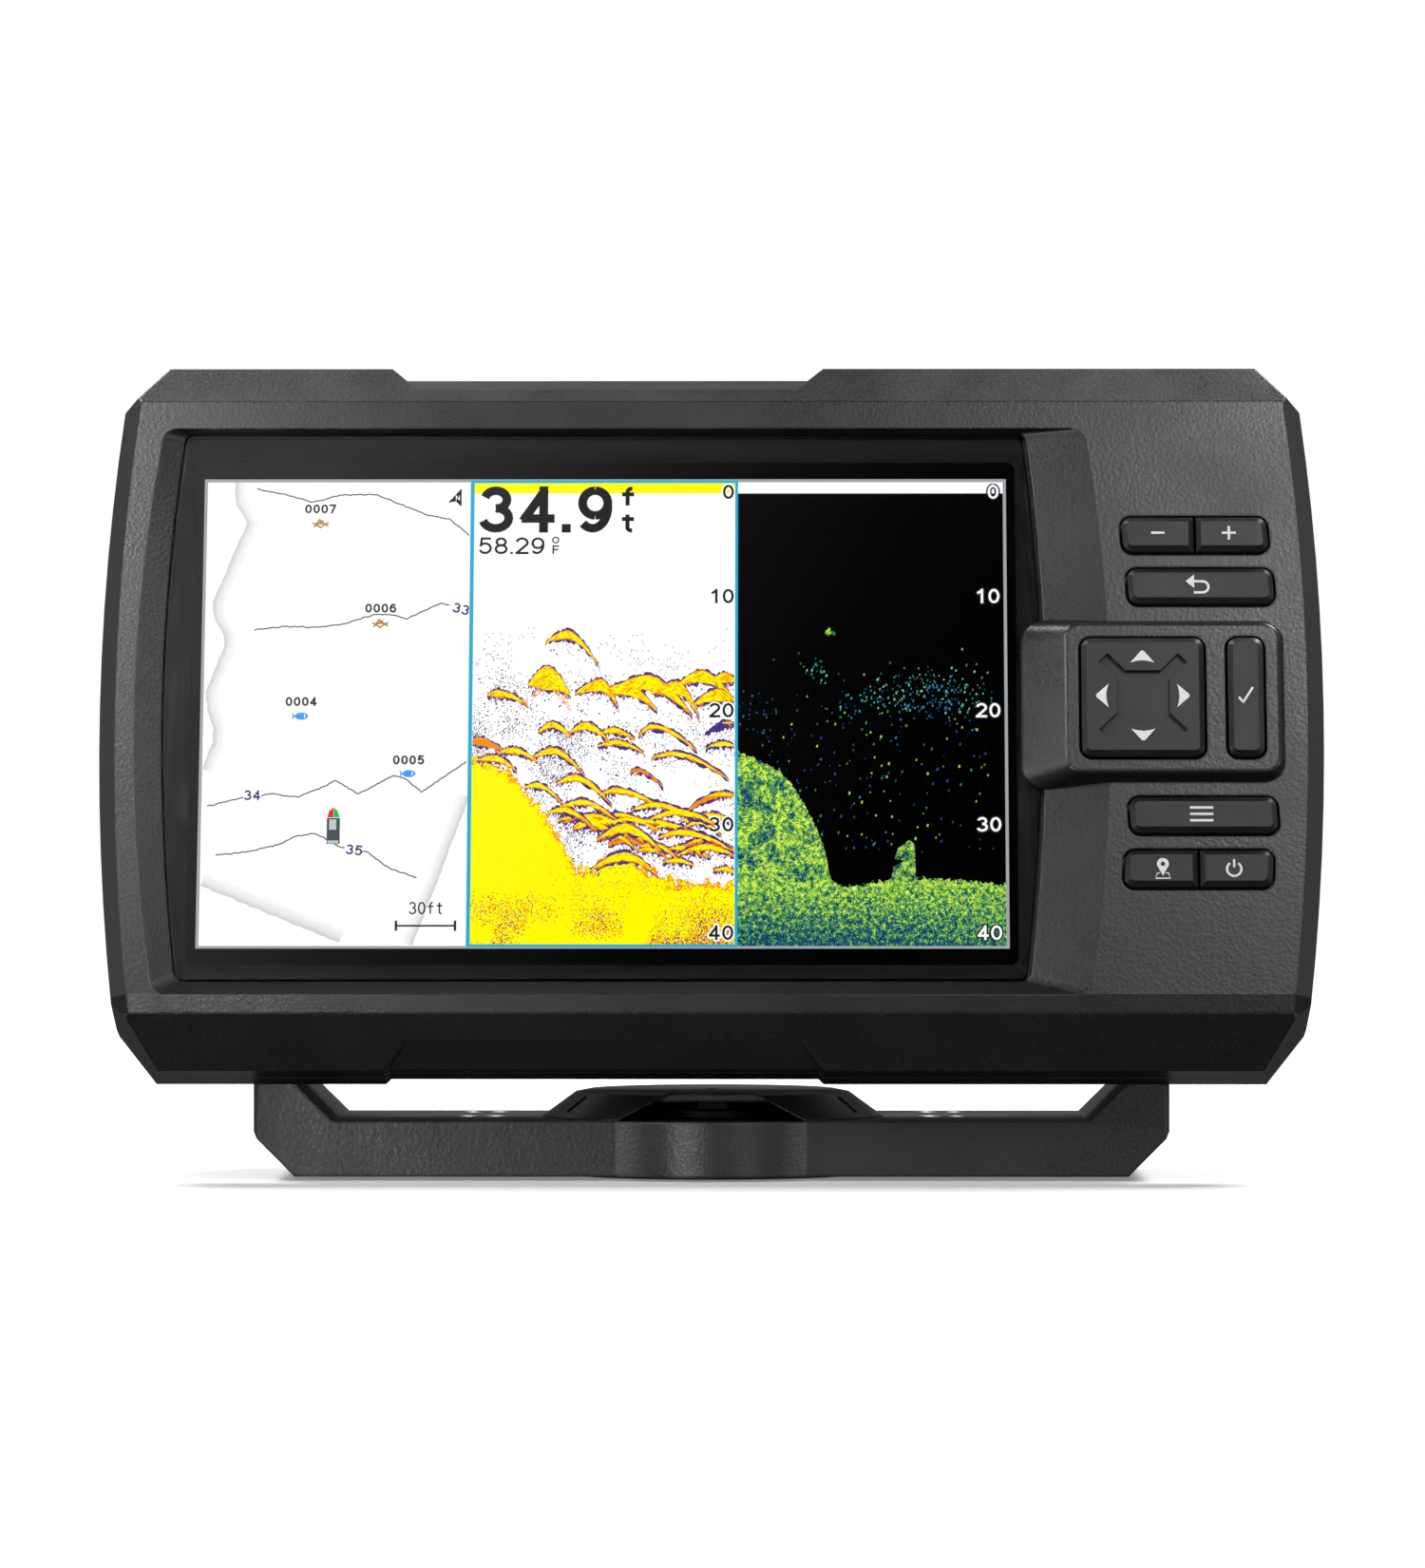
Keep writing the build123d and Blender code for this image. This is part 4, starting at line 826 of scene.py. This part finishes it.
def echo_dust(rng, arches):
    """Dark specks that hang below the arches."""
    dust = []
    for arch in arches:
        thick = arch[-1]
        for _ in range(int(26 + thick * 16)):
            t = rng.uniform(-0.9, 1.0)
            x, y = on_arch(arch, t)
            y -= thick * (1 - abs(t)) + rng.expovariate(0.9)
            size = rng.choice((0.19, 0.19, 0.24, 0.38))
            if PANE_1 + PANE_RIM < x < PANE_2 - 1.5 * PANE_RIM and y > SEABED_TOP:
                dust.append(oblong(x, y, x + size * 0.7, y + size))
    return dust


def echo_streaks(rng, arches):
    """Thin slanting lines inside the thick arches."""
    streaks = []
    for arch in arches:
        thick = arch[-1]
        for _ in range(int(max(thick - 0.8, 0.0) * 34)):
            t = rng.uniform(-0.8, 0.9)
            x, y = on_arch(arch, t)
            y -= rng.uniform(0.2, thick)
            length = rng.uniform(0.2, 0.9)
            end_y = y + length * (-0.5 if t > 0 else 0.5)
            end = min(x + length, PANE_2 - 0.7)
            if x < PANE_2 - 2 * PANE_RIM:
                streaks.append([(x, y), (end, end_y), (end, end_y + 0.16), (x, y + 0.16)])
    return streaks


def sonar_pane():
    screen_sheet("sonar_base", oblong(PANE_1, 0, PANE_2, SCREEN_HEIGHT), BASE, PICTURE["sonar"])
    rng = random.Random(7)
    piles = random_arches(rng)
    draw_shapes("sonar_dust", echo_dust(rng, ARCHES + piles), DUST, "purple")
    for label, step, arches in (("pile", ARCH_LAYERS, piles), ("arch", ARCH_LAYERS + 3, ARCHES)):
        draw_shapes(label + "_fringe", [arch_outline(arch, 0.42, rng, 0.30) for arch in arches], step, "purple")
        draw_shapes(label + "_edge", [arch_outline(arch, 0.10, rng, 0.16) for arch in arches], step + 1, "orange")
        cores = [arch for arch in arches if arch[-1] > 0.5]
        draw_shapes(label + "_core", [arch_outline(arch, -0.10, rng, 0.12) for arch in cores], step + 2, "yellow")
    draw_shapes("arch_streaks", echo_streaks(rng, ARCHES), STREAKS, "orange")
    draw_strokes("depth_value", "34.9", 52.1, 81.3, (6.55, 9.25), 1.72, TEXT, "ink")
    draw_strokes("depth_unit_f", "f", 79.2, 86.3, (3.0, 4.2), 0.8, TEXT, "ink")
    draw_strokes("depth_unit_t", "t", 79.2, 81.3, (3.0, 4.0), 0.8, TEXT, "ink")
    draw_strokes("temperature_value", "58.29", 52.1, 77.0, (2.5, 3.35), 0.46, TEXT, "ink")
    draw_strokes("temperature_unit", "F", 66.2, 77.0, (1.3, 1.75), 0.3, TEXT, "ink")
    draw_shapes("temperature_ring", [ribbon(half, 0.26) for half in ring(66.8, 79.8, 0.56, 0.56)], TEXT, "ink")
    scale_numbers("sonar", PANE_2 - 0.7, "ink")


SCALE_SIZE = (2.1, 2.85)
SCALE_STROKE = 0.46


def scale_numbers(name, right, colour):
    """Depth scale of one pane: 0 at the surface, 40 at the bottom."""
    for value, b in ((0, 88.0), (10, 67.2), (20, 44.6), (30, 22.2), (40, 1.1)):
        label = name + "_scale_" + str(value)
        halo = "white" if colour == "ink" else "ink"
        draw_strokes(label + "_halo", str(value), right, b, SCALE_SIZE, SCALE_STROKE, TEXT, halo, "RIGHT", grow=0.3)
        draw_strokes(label, str(value), right, b, SCALE_SIZE, SCALE_STROKE, TEXT + 1, colour, "RIGHT")


def scan_pane():
    screen_sheet("scan_base", oblong(PANE_2, 0, SCREEN_WIDTH, SCREEN_HEIGHT), BASE, PICTURE["reef"])
    rng = random.Random(11)
    specks = {"lime": [], "leaf": [], "mint": [], "teal": [], "sky": [], "navy": []}

    def speck(a, b, size, shades):
        ragged = [(a + rng.uniform(-1, 1) * size, b + rng.uniform(-1, 1) * size * 1.5) for _ in range(2)]
        corners = [(a - size, b - size), (a + size * 0.6, b - size * 1.3), ragged[0], (a + size, b + size),
                   (a - size * 0.4, b + size * 1.4)]
        centre_a = sum(x for x, _ in corners) / len(corners)
        centre_b = sum(y for _, y in corners) / len(corners)
        corners.sort(key=lambda corner: math.atan2(corner[1] - centre_b, corner[0] - centre_a))
        specks[rng.choice(shades)].append(corners)

    for _ in range(330):
        a = rng.gauss(138.0, 9.0)
        b = rng.gauss(49.0, 2.6)
        if PANE_2 + 3 < a < SCREEN_WIDTH - 1.2:
            speck(a, b, rng.uniform(0.08, 0.19), ("mint", "teal", "sky", "navy", "teal"))
    for _ in range(210):
        a = rng.uniform(107.0, SCREEN_WIDTH - 2)
        b = rng.uniform(17.0, 47.0)
        if b > 40.0 - (a - PANE_2) * 1.15:
            speck(a, b, rng.uniform(0.09, 0.22), ("lime", "leaf", "teal", "navy", "navy"))
    for _ in range(26):
        speck(rng.gauss(116.5, 1.2), rng.gauss(53.5, 1.6), rng.uniform(0.1, 0.2), ("leaf", "teal", "mint"))
    for _ in range(30):
        speck(rng.gauss(106.0, 2.0), rng.uniform(39.0, 50.0), rng.uniform(0.08, 0.18), ("teal", "navy"))
    for _ in range(14):
        speck(rng.gauss(119.1, 0.35), rng.gauss(61.4, 0.4), rng.uniform(0.15, 0.3), ("lime", "leaf"))
    for shade, shapes in specks.items():
        draw_shapes("scan_specks_" + shade, shapes, DUST, shade)
    pile = [(130.6, 12.6), (131.2, 15.4), (133.4, 16.6), (131.4, 16.9), (132.0, 19.0), (134.3, 20.7), (135.2, 19.6),
            (135.4, 12.6)]
    screen_sheet("scan_brush_pile", pile, LINES, PICTURE["pile"])
    scale_numbers("scan", SCREEN_WIDTH - 0.8, "white")


def pile_sheet():
    s = ScreenShader("pile_picture")
    chance = s.random(6.0)
    level = s.maths("ADD", s.maths("MULTIPLY", chance, 0.5), s.spread(s.cloud(1.3, 3.0), 0.0, 0.6, 0.3, 0.7))
    stops = [(0.2, (0.0, 0.01, 0.03)), (0.42, (0.02, 0.15, 0.12)), (0.62, (0.16, 0.42, 0.04)), (0.95, (0.6, 0.85, 0.1))]
    return s.shine(s.ramp(level, stops))


PICTURE["pile"] = pile_sheet()


def pane_frames():
    """Grey rule round the whole picture, and a blue rule round the active pane."""
    w, h, t = SCREEN_WIDTH, SCREEN_HEIGHT, FRAME_WIDTH
    grey = [oblong(-t, -t, w + t, 0), oblong(-t, h, w + t, h + t), oblong(-t, 0, 0, h), oblong(w, 0, w + t, h)]
    draw_shapes("picture_rule", grey, DUST, "grey")
    left, right = PANE_1 - 0.35, PANE_2 + 0.1
    blue = [oblong(left, -0.3, right, 0.25), oblong(left, h - 0.25, right, h + 0.3),
            oblong(left, 0.25, left + 0.75, h - 0.25), oblong(right - 0.55, 0.25, right, h - 0.25)]
    draw_shapes("active_pane_rule", blue, RULE, "blue")


# ---- printed border and icons ----
GLASS_LEFT = (-100.3, 3.5)     # x of the corners of the glass, and how far the side bows out between them
GLASS_RIGHT = (59.45, 3.35)
GLASS_HEIGHTS = (-52.4, 54.4)


def glass_edge(side, count=24):
    """Points down one bowed side of the glass: side -1 is the left."""
    corner, bow = GLASS_LEFT if side < 0 else GLASS_RIGHT
    low, high = GLASS_HEIGHTS
    points = []
    for i in range(count + 1):
        t = -1 + 2 * i / count
        points.append((corner + side * bow * (1 - t * t), (low + high) / 2 + t * (high - low) / 2))
    return points


def glass_border():
    left, right = SCREEN_LEFT - FRAME_WIDTH, SCREEN_LEFT + SCREEN_WIDTH + FRAME_WIDTH
    low, high = SCREEN_BOTTOM - FRAME_WIDTH, SCREEN_BOTTOM + SCREEN_HEIGHT + FRAME_WIDTH
    west = glass_edge(-1)
    east = glass_edge(1)
    shapes = [
        [*west, (left, west[-1][1]), (left, west[0][1])],
        [(right, east[0][1]), *east, (right, east[-1][1])],
        oblong(left, west[0][1], right, low),
        oblong(left, high, right, west[-1][1]),
    ]
    return flat_shapes("glass_border_print", shapes, PRINT_DEPTH, MATERIALS["lcd"])


def icon_paint():
    s = Shader("icon_paint")
    wear = s.noise(1800, detail=4.0)
    s.set(Base_Color=s.mix(s.spread(wear, 0.0, 1.0, 0.3, 0.8), (0.62, 0.63, 0.64), (0.72, 0.73, 0.74)))
    s.set(Roughness=s.spread(wear, 0.4, 0.55, 0.3, 0.7))
    return s.material


ICON = icon_paint()
SIGN_STROKE = 0.46
SYMBOL_STROKE = 0.42


def icon(name, outlines, body, depth):
    return flat_shapes(name, outlines, depth - ICON_RISE, ICON, body=body)


def bar_sign(x, u, half, stroke=SIGN_STROKE):
    return oblong(x - half, u - stroke / 2, x + half, u + stroke / 2)


def plus_sign(x, u, half):
    edge = SIGN_STROKE / 2
    lower = oblong(x - edge, u - half, x + edge, u - edge)
    upper = oblong(x - edge, u + edge, x + edge, u + half)
    return [bar_sign(x, u, half), lower, upper]


def key_icons():
    """White symbols printed on the keys, each about its own centre."""
    icon("minus_icon", [bar_sign(85.05, 33.89, 1.25)], "minus_key", KEY_FRONT)
    icon("plus_icon", plus_sign(98.55, 33.89, 1.35), "plus_key", KEY_FRONT)
    icon("back_icon", back_arrow(92.5, 23.5), "back_key", KEY_FRONT)
    lines = [bar_sign(92.55, -21.45 + shift, 2.2, 0.48) for shift in (1.25, 0.0, -1.25)]
    icon("menu_icon", lines, "menu_key", KEY_FRONT)
    icon("mark_icon", waypoint_pin(85.1, -32.0), "mark_key", KEY_FRONT)
    icon("power_icon", power_symbol(98.5, -32.15), "power_key", KEY_FRONT)
    icon("select_icon", check_mark(101.06, 0.87), "select_key", ISLAND_KEY_FRONT)
    quarters = [turn * math.pi / 2 for turn in range(4)]
    arrows = [[turned(x, u, angle, 81.6, 0.87) for x, u in arrow_shape(7.85)] for angle in quarters]
    icon("arrow_icons", arrows, "dpad_key", ISLAND_KEY_FRONT)


def turned(x, u, angle, centre_x, centre_u):
    return (centre_x + x * math.cos(angle) - u * math.sin(angle), centre_u + x * math.sin(angle) + u * math.cos(angle))


def arrow_shape(reach):
    """Triangle that points up, with a hollow base."""
    half, tall, sag = 2.3, 1.9, -0.45
    base = [(half - 2 * half * i / 8, reach - tall / 2 - sag * (1 - (2 * i / 8 - 1) ** 2) + sag) for i in range(9)]
    return base + [(-0.25, reach + tall / 2), (0.25, reach + tall / 2)]


def back_arrow(x, u):
    """Arrow to the left whose tail bends down and back."""
    head = [(x - 2.3, u + 0.75), (x - 0.7, u + 2.1), (x - 0.7, u - 0.6)]
    centre_u, radius = u - 0.35, 1.1
    bend = arc(x + 0.9, centre_u, radius, radius, 90, -90, 12)
    tail = ribbon([(x - 0.9, u + 0.75), *bend, (x - 0.8, centre_u - radius)], SIGN_STROKE)
    return [head, tail]


def waypoint_pin(x, u):
    """Drop-shaped marker over a small stand, its hole bridged into the outline."""
    centre_u = u + 0.85
    outer = arc(x, centre_u, 1.12, 1.12, -40, 220, 30)
    hole = arc(x, centre_u, 0.44, 0.44, 90, -270, 20)
    top = len(outer) // 2
    outline = [*outer[:top + 1], *hole, outer[top], *outer[top + 1:], (x, u - 1.5)]
    stand = [(x - 0.6, u - 0.95), (x - 1.05, u - 0.95), (x - 1.4, u - 1.95), (x + 1.4, u - 1.95), (x + 1.05, u - 0.95),
             (x + 0.6, u - 0.95)]
    return [outline, ribbon(stand, 0.24)]


def power_symbol(x, u):
    edge = SYMBOL_STROKE / 2
    return [ribbon(arc(x, u, 1.35, 1.35, 125, 415, 30), SYMBOL_STROKE), oblong(x - edge, u + 0.3, x + edge, u + 1.9)]


def check_mark(x, u):
    short = ribbon([(x - 1.35, u - 0.3), (x - 0.42, u - 1.35)], SYMBOL_STROKE)
    return [short, ribbon([(x - 0.58, u - 1.4), (x + 1.35, u + 1.65)], SYMBOL_STROKE)]


# ---- the camera, the floor and the light ----
LENS_LENGTH = 165.97           # on a film 36 mm wide
CAMERA_PLACE = (11.94, -1400, 66.0)
CAMERA_TARGET = (0, 0, 75.24)


def look_at(thing, target):
    thing.rotation_euler = (Vector(target) - thing.location).to_track_quat("-Z", "Y").to_euler()


def camera():
    lens = bpy.data.cameras.new("camera")
    lens.sensor_width = 36.0
    lens.lens = LENS_LENGTH
    lens.clip_start = 0.1
    lens.clip_end = 30.0
    view = bpy.data.objects.new("camera", lens)
    view.location = Vector(CAMERA_PLACE) * MM
    look_at(view, Vector(CAMERA_TARGET) * MM)
    bpy.context.scene.collection.objects.link(view)
    bpy.context.scene.camera = view


def soft_light(name, place, target, size, radiance):
    """A rectangular diffuser. Its power follows from its area and how bright its face is."""
    lamp = bpy.data.lights.new(name, "AREA")
    lamp.shape = "RECTANGLE"
    lamp.size, lamp.size_y = [length * MM for length in size]
    lamp.energy = 4 * lamp.size * lamp.size_y * radiance
    thing = bpy.data.objects.new(name, lamp)
    thing.location = [length * MM for length in place]
    look_at(thing, Vector(target) * MM)
    thing.visible_camera = False
    bpy.context.scene.collection.objects.link(thing)


def studio_floor():
    """White paper sweep. Only the camera sees it, so it throws no light up at the object."""
    s = Shader("studio_floor")
    paper = s.noise(9, detail=3.0)
    s.set(Base_Color=s.ramp(paper, [(0.3, (0.50, 0.50, 0.50)), (0.7, (0.52, 0.52, 0.52))]))
    s.set(Roughness=1.0)
    s.bsdf.inputs["Specular IOR Level"].default_value = 0.0
    position = s.node("ShaderNodeTexCoord")
    distance = s.node("ShaderNodeVectorMath", operation="LENGTH")
    s.link(position.outputs["Object"], distance.inputs[0])
    s.set(Emission_Color=(1.0, 1.0, 1.0, 1.0))
    s.set(Emission_Strength=s.spread(distance.outputs["Value"], FLOOR_GLOW, 1.0, *FLOOR_FADE))
    mesh = bpy.data.meshes.new("floor")
    reach = 6.0
    corners = [(-reach, -reach, 0), (reach, -reach, 0), (reach, reach, 0), (-reach, reach, 0)]
    mesh.from_pydata(corners, [], [(0, 1, 2, 3)])
    mesh.materials.append(s.material)
    floor = bpy.data.objects.new("floor", mesh)
    floor.location = (0, 0, -0.3 * MM)
    floor.visible_glossy = False
    floor.visible_diffuse = False
    floor.visible_transmission = False
    bpy.context.scene.collection.objects.link(floor)


def studio_world():
    """White backdrop for the camera. What the object reflects runs from dark in front to white behind."""
    world = bpy.data.worlds.new("studio")
    world.use_nodes = True
    s = NodeTree(world.node_tree)
    position = s.node("ShaderNodeTexCoord")
    direction = s.node("ShaderNodeSeparateXYZ")
    s.link(position.outputs["Generated"], direction.inputs["Vector"])
    towards = s.maths("MULTIPLY", direction.outputs["Y"], -1.0)
    height = s.maths("DEGREES", s.maths("ARCTAN2", direction.outputs["Z"], towards))
    room = s.grey_ramp(height, ROOM, -180, 180)
    lean = s.maths("MULTIPLY", s.maths("SUBTRACT", height, SHEEN_HEIGHT), SHEEN_LEAN)
    across = s.maths("SUBTRACT", direction.outputs["X"], lean)
    sheen = s.grey_ramp(across, SHEEN, SHEEN[0][0], SHEEN[-1][0])
    mirrored = s.mix(s.grey_ramp(height, SHEEN_BAND, -180, 180), room, sheen)
    lit = s.tree.nodes["Background"]
    s.link(mirrored, lit.inputs["Color"])
    backdrop = s.node("ShaderNodeBackground")
    backdrop.inputs["Color"].default_value = (1, 1, 1, 1)
    path = s.node("ShaderNodeLightPath")
    choose = s.node("ShaderNodeMixShader")
    s.link(path.outputs["Is Camera Ray"], choose.inputs[0])
    s.link(lit.outputs["Background"], choose.inputs[1])
    s.link(backdrop.outputs["Background"], choose.inputs[2])
    s.link(choose.outputs["Shader"], s.tree.nodes["World Output"].inputs["Surface"])
    bpy.context.scene.world = world


# Brightness of the room by height in degrees: 0 is level in front, 90 is overhead, 180 is level behind
ROOM = [
    (-180, 0.04), (-150, 0.16), (-98, 0.16), (-80, 0.005), (5, 0.005), (104, 0.005), (120, 0.30), (146, 0.32),
    (158, 0.02), (180, 0.01),
]
# A soft sheen that the glass mirrors from the front left: sideways direction and brightness,
# the heights between which it shows, and how far it leans over for each degree of height
SHEEN = [
    (-0.30, 0.03), (-0.18, 0.35), (-0.10, 0.52), (-0.062, 0.46), (-0.038, 0.28),
    (-0.0155, 0.13), (0.0, 0.06), (0.025, 0.015), (0.05, 0.005),
]
SHEEN_BAND = [(20, 0.0), (25, 1.0), (35, 1.0), (42, 0.0)]
SHEEN_HEIGHT = 32
SHEEN_LEAN = 0.01126
FLOOR_GLOW = 0.21              # of the floor near the object; it rises to 1 between these distances in metres
FLOOR_FADE = (0.3, 0.9)
AIM = (0, 0, 90)
FOOT = (0, 0, 20)
# Name, place, target and size in millimetres, brightness of the lit face
LIGHTS = [
    ("left_near", (-220, -300, 335), AIM, (100, 110), 19.0),
    ("left_fill", (-220, -300, 240), AIM, (100, 110), 6.0),
    ("right_near", (220, -300, 340), AIM, (100, 110), 4.0),
    ("right_front", (250, -620, 520), AIM, (160, 170), 14.5),
    ("left_behind", (-500, 310, 860), AIM, (450, 320), 24.0),
    ("right_behind", (500, 310, 860), AIM, (450, 320), 29.0),
    ("low_left", (-215, -700, 20), FOOT, (150, 60), 24.0),
    ("low_right", (290, -700, 20), FOOT, (150, 60), 11.0),
    ("left_wall", (-620, -300, 90), (0, 0, 40), (260, 220), 4.5),
    ("right_wall", (620, -300, 60), FOOT, (260, 160), 4.0),
    ("left_side", (-800, 0, 250), AIM, (350, 500), 0.3),
    ("right_side", (800, 0, 250), AIM, (350, 500), 0.3),
]

paint_nodes()
glass_border()
chart_pane()
sonar_pane()
scan_pane()
pane_frames()
key_icons()
camera()
studio_floor()
studio_world()
for light in LIGHTS:
    soft_light(*light)
bpy.context.scene.view_settings.view_transform = "Standard"
